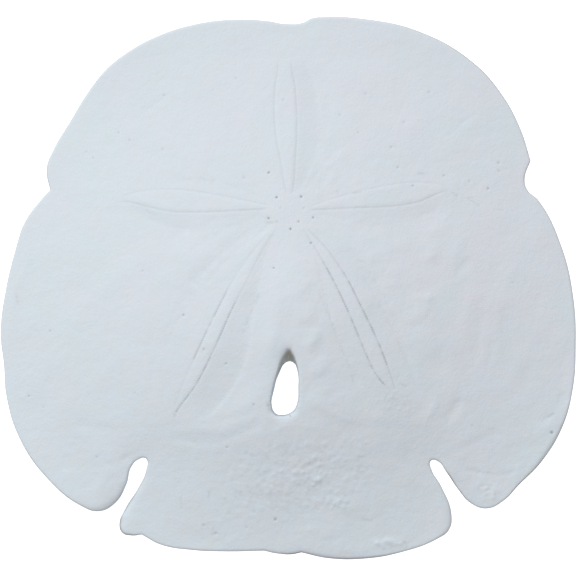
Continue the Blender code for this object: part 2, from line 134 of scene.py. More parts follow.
# Rim outline: smooth points, with the few sharp corners marked
RIM = [
    (7.6, 56.5), (4.9, 56.2), (3.1, 55.3), (-0.5, 55.05), (-4.3, 55.65), (-10.5, 55.95),
    (-19, 55.05), (-28, 52.15), (-34.4, 48.5), (-38.2, 45.3), (-42, 40.35), (-45.3, 34.9),
    (-48.9, 28.8), (-50.35, 24.9), (-49.65, 20.35, CORNER), (-51.4, 18.5), (-55, 13.5),
    (-56.8, 8.1), (-58.9, -0.6), (-59.95, -9.3), (-59.25, -16.3), (-58.8, -22.3), (-56, -31.4),
    (-50, -40), (-43, -45.6), (-39.5, -46.65), (-36.1, -45), (-33.7, -41), (-32.7, -37.4),
    (-31, -35.7), (-29.6, -35.6), (-29.6, -38.2), (-31.2, -41.7), (-33.9, -46), (-35.2, -49.2),
    (-34.6, -51.1), (-32.6, -51.7), (-30.5, -51.5, CORNER), (-26.5, -53.6), (-20, -54.7),
    (-13, -55), (-5, -54.85, CORNER), (-2.5, -55.4), (0.6, -55.6), (2.8, -55.2, CORNER),
    (8.3, -56.4), (16, -56.5), (23.5, -55.2), (31.3, -52.3), (33.6, -50.5), (34.1, -47.2),
    (31.9, -41.3), (29.9, -37.9), (29.75, -36.1), (30.9, -36), (33.2, -38.7), (35.5, -42.1),
    (38.2, -45), (41.5, -46.05), (45, -44.4), (48, -41.3), (53, -36.15), (57.3, -28.9),
    (59.45, -20.8), (60, -13), (59.5, -2), (57, 8.7), (52.2, 18.3), (49.9, 20.4), (49.35, 22.6),
    (50.6, 26.5, CORNER), (48.6, 32.8), (44.7, 40.2), (38.3, 47.25), (27, 53.6), (15, 56.2),
]

# Lunule: where it is narrowest, and its wider upper edge, which reaches further forward
LUNULE = [
    (-0.1, -15.45), (1.2, -15.7), (1.95, -17.3), (2.17, -20.7), (1.75, -24.6), (0.8, -25.9),
    (-1.4, -26.55), (-2.6, -26.2), (-3.4, -24.3), (-2.95, -21.5), (-1.95, -18.1),
]
LUNULE_TOP = [
    (0.25, -12.8), (0.95, -13.6), (1.55, -14.9), (2.1, -17.1), (2.31, -20.7), (1.89, -24.68),
    (0.87, -26.04), (-1.42, -26.71), (-2.73, -26.31), (-3.62, -24.3), (-3.3, -21.4), (-2.4, -17.9),
    (-0.85, -13.9),
]

# Petals, each from the middle outwards: centre line, half width of the plain middle band,
# then the widths of the pore zones to its left and right
PETALS = {
    "front": [
        (0.3, 19.2, 0.6, 1.1, 1), (0.3, 20.6, 0.8, 1.8, 1.6), (0.2, 22.7, 1.15, 3.2, 2.7),
        (0, 26.4, 1.55, 4.3, 4.2), (-0.3, 30.8, 2.1, 4.7, 4.9), (-0.5, 36, 2.35, 4.6, 4.9),
        (-0.6, 41.7, 2.1, 4, 4.1), (-0.7, 45.4, 1.5, 3, 3.5), (-0.8, 48, 1.3, 2.2, 2.6),
    ],
    "left": [
        (-3.8, 16.7, 0.35, 0.9, 1.1), (-10, 17.2, 1.2, 2.8, 2.4), (-17.7, 17.73, 2.07, 4.1, 2.7),
        (-23.6, 18.13, 2.36, 3.7, 2.1), (-28.8, 18.55, 1.8, 2.5, 1.1), (-32.6, 18.7, 0.95, 1.6, 0.9),
        (-36, 18.1, 0.15, 1, 1),
    ],
    "right": [
        (4.2, 16.4, 0.35, 0.8, 0.8), (8.8, 17.3, 1, 1.2, 1.9), (15, 18.35, 1.75, 1.5, 3.9),
        (21.3, 19.14, 2.26, 1.6, 4.3), (26.5, 19.86, 2.14, 1.6, 3.7), (30.7, 20.55, 1.15, 1.5, 3.1),
        (33.8, 20.8, 0.3, 1, 1.3),
    ],
    "rear_left": [
        (-2.6, 12.7, 0.35, 0.5, 0.7), (-3.6, 11.3, 0.45, 0.6, 1), (-6.7, 7, 0.85, 1.2, 4.2),
        (-9.9, 1.6, 1.25, 3, 6), (-13.2, -4.7, 1.35, 5, 6.4), (-16.6, -12, 1.5, 7, 6.7),
        (-20.1, -19.3, 1.3, 6.8, 6.5), (-23, -24.5, 0.55, 5.5, 4.5), (-24.2, -27.2, 0.1, 3, 3),
    ],
    "rear_right": [
        (3.4, 12.5, 0.36, 0.6, 0.5), (4.3, 11.3, 0.5, 0.9, 0.6), (7.3, 7.4, 1, 3.6, 1.2),
        (10.9, 1.6, 1.35, 4.6, 2.9), (14, -4.7, 1.45, 5.4, 4.1), (16.8, -10.9, 1.65, 5.2, 4.1),
        (19.3, -16.8, 1.5, 5, 4.1), (21.3, -20.5, 0.75, 4.2, 3.2), (22.5, -22.8, 0.1, 3, 2),
    ],
}

# Depths of the left and the right pore zone, of the grooves along their inner edges, and
# how much of its depth a zone regains at its outer edge
DEPTHS = {
    "front": (0.08, 0.36, 0.05, 0.06, 0.05, 0.24),
    "left": (0.25, 0.08, 0.06, 0.035, 0.12, 0.25),
    "right": (0.08, 0.24, 0.03, 0.06, 0.25, 0.10),
    "rear_left": (0.50, 0.23, 0.05, 0.05, 0.30, 0.15),
    "rear_right": (0.24, 0.18, 0.06, 0.06, 0.25, 0.30),
}

# Where the inner edges show an open row of pores: from and to along the petal, how dark
# there and how dark elsewhere, for the left and the right edge; then how plainly the
# outer rows of pores show
PORE_ROWS = {
    "front": ((0.0, 0.88, 0.10, 0.10), (0.0, 0.96, 0.12, 0.13), 0.05, 0.08),
    "left": ((0.0, 0.9, 0.13, 0.10), (0.0, 0.64, 0.10, 0.07), 0.10, 0.16),
    "right": ((0.2, 1.0, 0.08, 0.05), (0.0, 1.0, 0.18, 0.10), 0.12, 0.05),
    "rear_left": ((0.32, 1.0, 0.58, 0.10), (0.30, 0.73, 0.50, 0.06), 0.2, 0.16),
    "rear_right": ((0.23, 0.85, 0.66, 0.16), (0.11, 0.97, 0.62, 0.12), 0.2, 0.2),
}

# Low mounds and hollows: x, y, reach along, reach across, turn in degrees, height
MOUNDS = [
    # Broad swellings before and behind the lunule
    (2, -3, 9, 9, 0, 0.55), (-4, -33, 12, 9, 0, 0.6),
    # Small mounds and hollows of each part of the surface
    (-3.6, -11.5, 3.6, 1.6, 80, 0.2), (-2.2, -3, 5, 1.8, 84, 0.12), (4.6, -12, 2, 1.3, 60, 0.1),
    (6.9, -21.5, 1.7, 1.2, 30, 0.12), (9.8, -23.4, 3, 1.6, 10, 0.16),
    (-8.5, -24, 3.6, 1.8, 35, 0.16), (-20.5, -29.6, 3.6, 0.8, 2, 0.09),
    (8.6, 25.6, 1, 0.8, 0, 0.09), (9.2, 23, 1.2, 0.8, 50, 0.1), (6.6, 20, 1.4, 0.7, 60, 0.09),
    (11, 27.6, 1.3, 0.9, 30, 0.07), (8.9, 31.6, 0.6, 1.4, 0, 0.08), (17, 10.4, 2.2, 1, 10, 0.07),
    (13.8, 13.6, 1.4, 0.8, 20, 0.06), (22.6, 3.6, 1.8, 1.3, 10, 0.1), (18.6, 3.4, 1.5, 1, 0, 0.08),
    (31, 12.2, 2, 1, 20, 0.08), (35.6, 8.4, 3.2, 1, 60, 0.08), (21.5, -4.6, 1.4, 1.1, 0, 0.07),
    (30, -25.6, 2.8, 0.8, 62, 0.13), (36.6, -24, 3.4, 1, 60, 0.08), (37, -6, 4.6, 1.3, 78, 0.08),
    (43.6, -5.6, 5, 1.4, 80, 0.07), (46.5, 3, 4, 1.6, 70, 0.07), (40.6, -19, 4.4, 1.1, 70, 0.08),
    (48, -16, 5, 1.6, 66, 0.08), (52.5, -8, 5, 1.5, 80, 0.06), (-33, 4, 5, 2.2, 30, 0.1),
    (-42, -4, 6, 2.4, 40, 0.1), (-38, -17, 6, 2.4, 50, 0.1), (-28, 31, 6.5, 2.4, -30, 0.08),
    (28, 34, 6, 2.8, 30, 0.08), (-46, -24, 5, 2.2, 60, 0.1), (-55.4, 2.6, 4, 0.9, 74, 0.08),
    (-38.6, -40.4, 3.6, 1.2, 62, 0.12), (54.6, -27.6, 2.6, 0.8, 52, 0.1),
    (18, -31.5, 4, 2, 10, 0.12), (-2, -42, 4.5, 2.2, 20, 0.1), (12, -46, 4.2, 2.2, 0, 0.12),
    (20.5, -53.2, 3.2, 1, 12, 0.12), (1, -55.6, 22, 3.4, 0, 0.26), (-16.5, -49.5, 3, 1.6, 0, 0.08),
    (8, -50.5, 6, 1.6, 4, 0.1), (-1, -28.9, 2.4, 0.8, 20, 0.1), (5.6, -29, 2.2, 0.9, -10, 0.08),
    (34, -38, 3, 1, -58, 0.1),
]

# Folds: a line of places, its reach to the left and to the right of them, its height
FOLDS = [
    # Beads down the middle, each steep at its lower right
    ([(0.8, 4.1), (2.3, 5.4), (3.2, 6.8)], 1.9, 0.9, 0.07),
    ([(-1.2, -1.4), (1.8, -1.1), (3.7, 0.4), (4.2, 2.8)], 2.2, 0.9, 0.11),
    ([(0.8, -6.6), (3.8, -6.2), (5, -4.9), (5.2, -2.9)], 2.2, 0.9, 0.12),
    ([(3, -12.2), (5, -11.6), (5.9, -9.9), (5.9, -8.2)], 2.1, 0.9, 0.13),
    ([(3.8, -17.2), (6.8, -17.3), (8.1, -15.6), (8.1, -13.9)], 2.2, 0.9, 0.13),
    ([(6.6, -21.9), (8.6, -21.2), (9.3, -18.6)], 1.8, 0.9, 0.08),
    # Beads right of the middle
    ([(23.4, 7), (24.4, 8.7), (24.6, 10.6)], 1.8, 0.8, 0.12),
    ([(29, 5.2), (30.6, 7.6), (31.6, 9.4)], 2, 0.9, 0.14),
    ([(15.9, 5.7), (17.6, 5.8), (19.4, 6.6)], 1.6, 0.8, 0.12),
    ([(19.2, 0.8), (21.4, 0.7), (23.9, 1.3)], 1.7, 0.8, 0.13),
    ([(23.8, -6.9), (27.5, -5.8), (29, -2.9), (29.2, -0.9)], 2.4, 0.9, 0.16),
    ([(27.1, 1.7), (28.6, 0.4), (29.6, -1.3)], 0.6, 0.6, -0.05),
    # Radiating folds of the right side
    ([(38.2, 6.3), (36.6, 4.6), (34.8, 2.2)], 0.9, 0.9, -0.09),
    ([(32.5, -11.6), (31.3, -14.9), (32.6, -18.2)], 0.9, 0.9, -0.07),
    ([(40.3, -1.7), (39.9, -8.3), (38.9, -14), (36.8, -18.4)], 1.1, 1, -0.09),
    ([(42.8, -10.3), (41.8, -15.7), (39.8, -21)], 0.9, 0.8, -0.07),
    ([(36.6, -22.6), (33.9, -26.2), (31.9, -28.8)], 1.2, 1.1, -0.17),
    ([(51.4, -16.9), (48, -21.4), (46.4, -23.6)], 1.4, 1.2, -0.09),
    ([(58.9, -21.4), (55.8, -25.6), (52.6, -28.9)], 0.8, 0.9, -0.12),
    # Outer edges of the rear right petal, towards the lunule and towards the rim
    ([(6.4, -0.2), (8.3, -5), (10.2, -10.4), (12, -14.4), (13.6, -18), (14.8, -21)],
     0.5, 0.6, -0.055),
    ([(15, 2.6), (18.2, -1.7), (21.6, -8.4), (25, -15.5), (26.6, -20.4)], 0.6, 0.6, -0.075),
    # Valley and lip along the outer side of the rear left petal
    ([(-2.6, 13.6), (-6.2, 12.3), (-9.2, 10.8), (-12.6, 8.2), (-16.8, 4.4), (-20.3, 0)],
     1.1, 1.2, -0.12),
    ([(-20.3, 0), (-22.4, -4.8), (-25.2, -10.6), (-27.9, -16.2), (-28.3, -23)], 0.9, 0.9, -0.08),
    ([(-2.9, 12.3), (-7.4, 8.4), (-11.6, 4.4), (-14.6, 1.4)], 0.9, 0.8, 0.06),
    # Faint rays between the left and the rear left petal
    ([(-3.6, 14.6), (-9, 13.4), (-15.4, 10.6), (-21, 7)], 0.7, 0.7, -0.05),
    ([(-4.6, 15.4), (-11, 14.8), (-18, 13), (-25, 9.6)], 0.8, 0.8, -0.04),
    ([(-3.4, 12.8), (-8.2, 9.6), (-13.2, 5.4), (-17.4, 0.4)], 0.5, 0.5, -0.05),
    # Ridge and valley right of the front petal
    ([(9.6, 33.6), (8.6, 31.2), (6.7, 28), (5.2, 24.6), (3.6, 21)], 1.6, 0.8, 0.045),
    ([(2.6, 20.4), (4.3, 24.6), (5.6, 29.4), (6.6, 35), (6.5, 41)], 0.6, 0.9, 0.035),
    ([(3, 19.6), (5.8, 23.4), (9.4, 27.6), (13, 30.4)], 0.5, 0.5, -0.035),
    ([(6.2, 20.6), (8.3, 22.9), (10.8, 24.7)], 0.6, 0.6, -0.06),
    # Shoulder where the tail begins, left and right of the lunule
    ([(-24.6, -31.7), (-15.9, -32), (-12.1, -31.1), (-8.8, -29.8), (-5, -27.5)], 1, 0.9, -0.13),
    ([(-15, -28), (-10.4, -27), (-6, -25)], 1, 0.7, -0.07),
    ([(3.4, -23), (8.6, -25.6), (12.7, -27.3), (18.1, -27.9), (23.4, -27.6), (29.8, -28.4)],
     1.9, 0.9, 0.12),
    # Broken ring of the scar on the right rear lobe
    ([(39.5, -42.6), (40, -41.6), (41.3, -41.1), (42, -41.4)], 0.28, 0.28, -0.1),
    ([(39.8, -43.3), (42, -42.1), (43.2, -42.7)], 0.25, 0.25, -0.08),
    ([(42.2, -41.2), (42.8, -42.6), (43.3, -44.1)], 0.26, 0.26, 0.11),
    ([(43.3, -41.5), (44.1, -42.4), (44.5, -43.4)], 0.26, 0.26, 0.09),
    # Faint line down the middle of the tail
    ([(-2.4, -28.4), (-2.5, -36), (-2.9, -47)], 0.9, 0.5, 0.05),
    # Creases of the side lobes
    ([(-44.6, -28.7), (-40.1, -29.1), (-35, -30)], 0.8, 0.8, -0.08),
    ([(-48.2, -37.3), (-43.4, -37.4), (-39.2, -37), (-35.1, -36.3), (-32.4, -35.3)],
     0.6, 0.8, -0.075),
    ([(-36.2, -36), (-34.2, -35.4), (-32.6, -34.9)], 0.35, 0.4, -0.07),
    ([(34.6, -33.9), (39.9, -31.9), (44.4, -29.7)], 0.9, 0.7, -0.07),
    ([(36.4, -37.9), (41.6, -38.9), (45.3, -38.9), (48, -38)], 0.5, 0.5, -0.09),
    ([(31.6, -36), (35, -38.6), (38.6, -40.4)], 0.9, 0.9, 0.08),
    ([(31.6, 30.8), (34.6, 32.5), (36.7, 34.6), (40.1, 36.7)], 0.4, 0.35, -0.05),
    ([(-30.2, 36.6), (-27.2, 38.6), (-24.2, 40.2)], 0.7, 0.7, -0.06),
    ([(-23.6, 45.3), (-20, 46.8)], 0.8, 0.6, -0.06),
    ([(-50.5, -18.9), (-49.1, -21.2)], 0.5, 0.5, -0.06),
    ([(-24.5, 12.6), (-20.2, 12.1)], 0.4, 0.4, -0.07),
]

# Short dark lines: places, half width, darkness, depth
MARKS = [
    ([(-6.1, -1.5), (-6.7, -3.4)], 0.3, 0.18, 0.06),
    ([(-8.1, -6.2), (-8.6, -7.8)], 0.28, 0.14, 0.05),
    ([(-7.3, -4.4), (-7.8, -5.6)], 0.2, 0.12, 0.05), ([(-9.1, -9), (-9.4, -9.6)], 0.22, 0.12, 0.04),
    ([(6.4, -0.2), (7.3, -2.6), (8.2, -4.6)], 0.22, 0.06, 0.02),
    ([(8.3, -5), (8.9, -6.4)], 0.24, 0.12, 0.04), ([(9.3, -7.5), (10.2, -10.4)], 0.22, 0.06, 0.02),
    ([(11.3, -12.9), (11.7, -14)], 0.24, 0.12, 0.04),
    ([(12.3, -15.2), (12.9, -16.4)], 0.22, 0.08, 0.03),
    ([(13.3, -18.3), (13.6, -20)], 0.22, 0.08, 0.03),
    ([(15.8, 1.7), (16.9, 0.4), (18.2, -1.7)], 0.24, 0.06, 0.02),
    ([(19.4, -3.8), (20.1, -5.2)], 0.24, 0.07, 0.02),
    ([(20.9, -7.2), (21.6, -8.4)], 0.22, 0.1, 0.04),
    ([(-29.4, 15.9), (-28.6, 15.4)], 0.26, 0.1, 0.04),
    ([(-28.3, 15.2), (-27.1, 15.2)], 0.24, 0.08, 0.03),
    ([(-18.4, 22.8), (-15.4, 22.5)], 0.2, 0.07, 0.03),
    ([(27.2, 23.8), (28.3, 23.6)], 0.22, 0.15, 0.05),
    ([(37.4, 18.5), (38.4, 18.7)], 0.2, 0.16, 0.05), ([(38, 18.2), (39.8, 17.1)], 0.18, 0.18, 0.05),
    ([(34.2, 19.6), (35.2, 19.2)], 0.24, 0.26, 0.08),
    ([(42.9, 16.3), (44.8, 16.2)], 0.18, 0.14, 0.04), ([(10.6, 19.1), (10.2, 20)], 0.2, 0.14, 0.05),
    ([(13.6, 19.6), (15.2, 19.9)], 0.18, 0.22, 0.06),
    ([(-2.6, 13.5), (-4.4, 13.4)], 0.22, 0.15, 0.05),
    ([(-22.1, -43.9), (-22.2, -46)], 0.22, 0.14, 0.08),
    # The two with no depth only darken: a broad patch at (22, -23.6) and a faint line along the
    # outer edge of the rear right petal
    ([(-16.4, -42.6), (-16.3, -44.4)], 0.2, 0.14, 0.07), ([(22, -23.6), (24.8, -25)], 2.6, 0.09, 0),
    ([(16, 1.4), (18.2, -1.7), (21.6, -8.4), (25, -15.5), (26.6, -20.4)], 0.36, 0.045, 0),
    ([(20.7, -22.4), (20.1, -23.3)], 0.28, 0.18, 0.06),
    ([(23.4, -20), (24.4, -20.6)], 0.24, 0.22, 0.08),
    ([(-56.6, -1.6), (-56.3, -3.6)], 0.34, 0.1, 0.05),
    ([(15.6, -48.4), (17.4, -48.6)], 0.24, 0.1, 0.05),
    ([(24.3, -53), (24.9, -54.2)], 0.18, 0.22, 0.08),
    ([(-4.1, -24), (-3.9, -25.2)], 0.3, 0.35, 0.12),
    ([(54.4, -26.9), (55.4, -26.2)], 0.26, 0.22, 0.06),
    ([(-2.9, -27.6), (1, -27.3)], 0.25, 0.06, 0.05),
]

# Gonopores, then the pinpricks: x, y, radius, depth, how dark
DOTS = [
    (-2.34, 18.75, 0.21, 0.4, 0.72), (2.75, 18.88, 0.21, 0.4, 0.72), (5.26, 14.52, 0.19, 0.35, 0.6),
    (0.56, 12.16, 0.21, 0.4, 0.78), (-4.03, 14.39, 0.2, 0.35, 0.75), (-3.98, 23.9, 0.21, 0.3, 0.75),
    (2.2, 13.7, 0.2, 0.2, 0.55), (4.78, 9.26, 0.21, 0.25, 0.55), (-2.25, 13.7, 0.2, 0.1, 0.3),
    (3.25, 16.5, 0.19, 0.15, 0.25), (-1.56, 16.56, 0.18, 0.1, 0.2), (-2.92, 4.1, 0.2, 0.25, 0.5),
    (26, 21.2, 0.2, 0.2, 0.45), (-21.7, -5.7, 0.23, 0.25, 0.5), (41.7, 20.6, 0.22, 0.25, 0.5),
    (-10.8, 43.6, 0.2, 0.12, 0.18), (-25.8, 40.1, 0.26, 0.12, 0.2), (-0.9, 39.1, 0.22, 0.12, 0.22),
    (21.5, 29.2, 0.23, 0.2, 0.24), (22.9, 25, 0.22, 0.2, 0.24), (43.9, 26, 0.28, 0.2, 0.26),
    (-12.8, -15.8, 0.2, 0.2, 0.35), (-17.5, -12.8, 0.2, 0.2, 0.35), (-12.6, -33.2, 0.22, 0.2, 0.3),
    (-2.6, -48.3, 0.3, 0.25, 0.42), (55, -30.2, 0.32, 0.25, 0.7), (14.6, 32.3, 0.22, 0.12, 0.24),
    (-49.5, -9, 0.22, 0.12, 0.3), (-54, -22.6, 0.22, 0.15, 0.34), (-51, -24.9, 0.18, 0.12, 0.25),
    (16.2, 40.4, 0.4, 0.1, 0.1), (29.4, 40.7, 0.26, 0.12, 0.2), (10.8, 35.9, 0.24, 0.12, 0.2),
    (24.2, 34.4, 0.34, 0.12, 0.12), (32.5, 23.3, 0.26, 0.15, 0.25), (44, 24.3, 0.26, 0.12, 0.2),
    (37.8, 22.1, 0.24, 0.12, 0.2), (-35.3, 32.3, 0.19, 0.12, 0.26), (-33, 30.8, 0.22, 0.12, 0.24),
    (-9.2, 22.9, 0.26, 0.12, 0.2), (-26.1, 28.8, 0.26, 0.1, 0.16), (-30.2, 3.5, 0.18, 0.12, 0.25),
    (-7.1, -24.3, 0.26, 0.15, 0.3), (-39.8, -35.3, 0.24, 0.12, 0.2), (-31.9, -22, 0.2, 0.12, 0.2),
    (-8.6, -49.9, 0.22, 0.12, 0.2), (-17.5, -49.5, 0.24, 0.2, 0.3), (-15, -51.2, 0.26, 0.2, 0.25),
    (-42, 28.3, 0.24, 0.08, 0.14), (-40.6, 27, 0.26, 0.08, 0.16), (0.5, -26.6, 0.16, 0.12, 0.6),
    (38.4, -28.8, 0.22, 0.1, 0.2), (-5.8, 1.6, 0.18, 0.08, 0.12), (46.8, 1, 0.22, 0.1, 0.12),
]

# Patches of small crusty bumps: x, y, half width, half height, how many, height
CRUSTS = [
    (1, -39.5, 15.5, 7.5, 400, 0.055), (8, -31.5, 11, 3, 110, 0.035), (3, -48, 18, 5, 160, 0.032),
    (4, -38.4, 4.4, 2.2, 46, 0.06), (5.8, -40.6, 1.4, 0.9, 14, 0.12),
    (-4.6, -42, 4.5, 2, 50, 0.055), (10.8, -44.8, 2, 1.2, 22, 0.09),
    (15.6, -36.4, 2.6, 3.4, 34, 0.055), (-17.4, -49, 1, 0.6, 8, 0.055),
    (-15.4, -50.6, 1.2, 0.6, 8, 0.05), (21, -53.4, 2.8, 0.9, 34, 0.09),
    (23.2, -24, 3.6, 2.6, 130, 0.024), (42, -42.6, 2.4, 2, 16, 0.045),
    (48, -36, 4.5, 3.5, 26, 0.035), (-22, -35.5, 7, 3, 30, 0.03), (30, 26, 14, 10, 90, 0.026),
    (-30, 28, 13, 10, 60, 0.024), (20, 40, 12, 8, 50, 0.024), (42, 18, 6, 6, 34, 0.032),
    (-40, -6, 10, 12, 50, 0.022), (12, -16, 3.4, 5, 30, 0.032), (5, -37.5, 9, 5.5, 34, 0.09),
    (-3, -45, 12, 4, 22, 0.07),
]

# Scar of a barnacle on the right rear lobe: place, radius, height of its rim
SCAR = (41.9, -42.4, 1.55, 0.05)

# Stretches of the rim that are rounded more widely: x, y, reach, extra width
WIDE_ROUNDS = [
    (-37.6, -43.6, 4, 1.3), (-31.2, -41, 2.4, 0.8), (-33.4, -45.4, 2.8, 1.1),
    (-34.6, -49.4, 2.2, 0.8), (33.6, -48.6, 3.6, 0.5), (6, -56, 12, 0.4), (53.5, -32.5, 7, 0.6),
]

# Stretches of the rim darkened brown-grey, mostly painted shade where the edge turns from the light,
# with some staining: x, y, reach, width, how dark
RIM_SHADE_AND_STAINS = [
    (-30.8, -40.8, 2.6, 0.3, 0.2), (-32.8, -44.8, 2.8, 0.36, 0.42), (-35.2, -49.4, 2.2, 0.5, 0.42),
    (-33.2, -51.5, 2, 0.45, 0.35), (1.2, -55.4, 2.2, 0.3, 0.85), (4, -55.6, 2.4, 0.3, 0.5),
    (14, -56.4, 8, 0.4, 0.38), (33.9, -40, 2, 0.34, 0.6), (36.2, -43.2, 2, 0.3, 0.4),
    (56.6, -30, 5, 0.3, 0.25), (50, -38.8, 6, 0.3, 0.4), (-38.8, -46.2, 3.4, 0.3, 0.12),
    (-50.1, 22.8, 2.6, 0.3, 0.2), (-53.4, -35.6, 5, 0.3, 0.12), (-45, -44, 5, 0.3, 0.12),
    (38.6, 47, 9, 0.3, 0.25), (29, 52.6, 7, 0.3, 0.2),
]

# Food grooves of the mouth side, right half; the left half mirrors them about the middle
FOOD_GROOVES = [
    [(0.2, 12), (0.2, 16), (3.6, 22), (7.4, 31), (8.4, 40), (7.2, 49)],
    [(1.8, 11), (6.5, 13.2), (15, 18.4), (27, 25.6), (40, 31.5)],
    [(6.5, 13.2), (16, 12.6), (30, 11.6), (47, 12)],
    [(1.2, 8.9), (3.8, 5.2), (12, -4), (25, -15.5), (35, -25.5), (43.5, -37)],
    [(3.8, 5.2), (8.6, -6), (14.6, -20), (19.8, -34), (23.4, -46.5)],
]


def outline(name, places, pieces):
    """A closed smooth curve through the places, as a run of points, anticlockwise."""
    data = bpy.data.curves.new(name, "CURVE")
    data.dimensions = "2D"
    data.fill_mode = "NONE"
    data.resolution_u = pieces
    line = data.splines.new("BEZIER")
    line.bezier_points.add(len(places) - 1)
    line.use_cyclic_u = True
    for point, place in zip(line.bezier_points, places):
        kind = "VECTOR" if CORNER in place else "AUTO"
        point.co = (place[0], place[1], 0)
        point.handle_left_type = kind
        point.handle_right_type = kind
    guide = bpy.data.objects.new(name, data)
    bpy.context.scene.collection.objects.link(guide)
    bpy.context.view_layer.update()
    run = np.array([v.co[:2] for v in guide.to_mesh().vertices], float)
    guide.to_mesh_clear()
    bpy.data.objects.remove(guide, do_unlink=True)
    x, y = run.T
    area = (x * np.roll(y, -1) - np.roll(x, -1) * y).sum()
    return run if area > 0 else run[::-1]


def smooth_rows(rows, step):
    """Rows of a table, run through smoothly about one step apart."""
    rows = np.array(rows, float)
    ends = np.vstack([2 * rows[0] - rows[1], rows, 2 * rows[-1] - rows[-2]])
    runs = []
    for a, b, c, d in zip(ends, ends[1:], ends[2:], ends[3:]):
        count = max(1, round(math.dist(b[:2], c[:2]) / step))
        t = np.linspace(0, 1, count, endpoint=False)[:, None]
        bend = (2 * a - 5 * b + 4 * c - d) * t**2 + (3 * b - a - 3 * c + d) * t**3
        runs.append(0.5 * (2 * b + (c - a) * t + bend))
    return np.vstack(runs + [rows[-1:]])


def near_box(x, y, line, margin):
    """Which places lie within a margin of the box round a line."""
    low = line[:, :2].min(0) - margin
    high = line[:, :2].max(0) + margin
    return (x > low[0]) & (x < high[0]) & (y > low[1]) & (y < high[1])


def nearest(x, y, line):
    """The nearest place on an open line: (segment number and part, offset, + to the left)."""
    a = line[:-1, :2]
    run = line[1:, :2] - a
    found, offsets = [], []
    for start in range(0, len(x), BATCH):
        px = x[start : start + BATCH, None] - a[:, 0]
        py = y[start : start + BATCH, None] - a[:, 1]
        part = np.clip((px * run[:, 0] + py * run[:, 1]) / (run**2).sum(1), 0, 1)
        away = np.hypot(px - part * run[:, 0], py - part * run[:, 1])
        best = away.argmin(1)
        row = np.arange(len(best))
        turn = run[best, 0] * py[row, best] - run[best, 1] * px[row, best]
        found.append(best + part[row, best])
        offsets.append(np.where(turn < 0, -1.0, 1.0) * away[row, best])
    return np.concatenate(found), np.concatenate(offsets)


def sideways(line):
    """Directions to the left of a line at each of its places."""
    ahead = np.gradient(line[:, :2], axis=0)
    ahead /= np.linalg.norm(ahead, axis=1)[:, None]
    return np.c_[-ahead[:, 1], ahead[:, 0]]


def beside(x, y, places, step, reach):
    """Which places lie within reach of a run of places, and within 1 mm of its box."""
    line = smooth_rows(places, step)
    near = np.flatnonzero(near_box(x, y, line, 1.0))
    return near[np.abs(nearest(x[near], y[near], line)[1]) < reach]


def inside(x, y, loop):
    """Which places lie inside a closed loop."""
    a = loop
    b = np.roll(loop, -1, axis=0)
    rise = np.where(b[:, 1] == a[:, 1], 1.0, b[:, 1] - a[:, 1])
    slope = (b[:, 0] - a[:, 0]) / rise
    found = []
    for start in range(0, len(x), BATCH):
        px = x[start : start + BATCH, None]
        py = y[start : start + BATCH, None]
        spans = (a[:, 1] > py) != (b[:, 1] > py)
        cross = a[:, 0] + (py - a[:, 1]) * slope
        found.append((spans & (px < cross)).sum(1) % 2 == 1)
    return np.concatenate(found)


def tree_of(places):
    """A search tree of places in the plane."""
    tree = KDTree(len(places))
    for number, place in enumerate(places):
        tree.insert((place[0], place[1], 0), number)
    tree.balance()
    return tree


def loop_gap(x, y, loop, reach):
    """Distance to a closed loop, or reach where the loop is further off than that."""
    closed = np.vstack([loop, loop[:1]])
    tree = tree_of(loop)
    rough = np.array([tree.find((a, b, 0))[2] for a, b in zip(x, y)])
    gap = np.full(len(x), float(reach))
    close = rough < reach
    if close.any():
        gap[close] = np.abs(nearest(x[close], y[close], closed)[1])
    return np.minimum(gap, reach)


def smooth(t):
    """Eased step: 0 up to 0, 1 from 1 on."""
    t = np.clip(t, 0, 1)
    return t * t * (3 - 2 * t)


def quarter(t):
    """Quarter round: 0 at the edge, 1 where it runs out."""
    return np.sqrt(1 - (1 - np.clip(t, 0, 1)) ** 2)


def lumps(x, y, size, seed):
    """Soft random unevenness between -1 and 1, with lumps about one size across."""
    table = np.random.default_rng(seed).uniform(-1, 1, (400, 400))
    u = (x + 90.0) / size
    v = (y + 90.0) / size
    column, line = np.floor(u).astype(int) % 399, np.floor(v).astype(int) % 399
    u, v = smooth(u - np.floor(u)), smooth(v - np.floor(v))
    low = table[line, column] * (1 - u) + table[line, column + 1] * u
    high = table[line + 1, column] * (1 - u) + table[line + 1, column + 1] * u
    return low * (1 - v) + high * v


def dome(x, y):
    """The low cone-like rise from the rim to the peak."""
    dx = x - PEAK[0]
    dy = y - PEAK[1]
    cx = PEAK[0] - DOME_CENTRE[0]
    cy = PEAK[1] - DOME_CENTRE[1]
    a = (dx / DOME_HALF[0]) ** 2 + (dy / DOME_HALF[1]) ** 2
    b = cx * dx / DOME_HALF[0] ** 2 + cy * dy / DOME_HALF[1] ** 2
    c = (cx / DOME_HALF[0]) ** 2 + (cy / DOME_HALF[1]) ** 2 - 1
    reach = (-b + np.sqrt(b * b - a * c)) / np.maximum(a, 1e-9)
    part = 1 / np.maximum(reach, 1e-9)
    drop = 1 - part**1.6
    rise = (PEAK_HEIGHT - RIM_HEIGHT) * (0.5 * (drop + np.hypot(drop, RIM_SPREAD))) ** 1.4
    tail = smooth((-25.0 - y) / 13.0) * smooth((36.0 - np.abs(x)) / 12.0)
    return RIM_HEIGHT + rise - REAR_DROP * tail * smooth((y + 62.0) / 22.0)


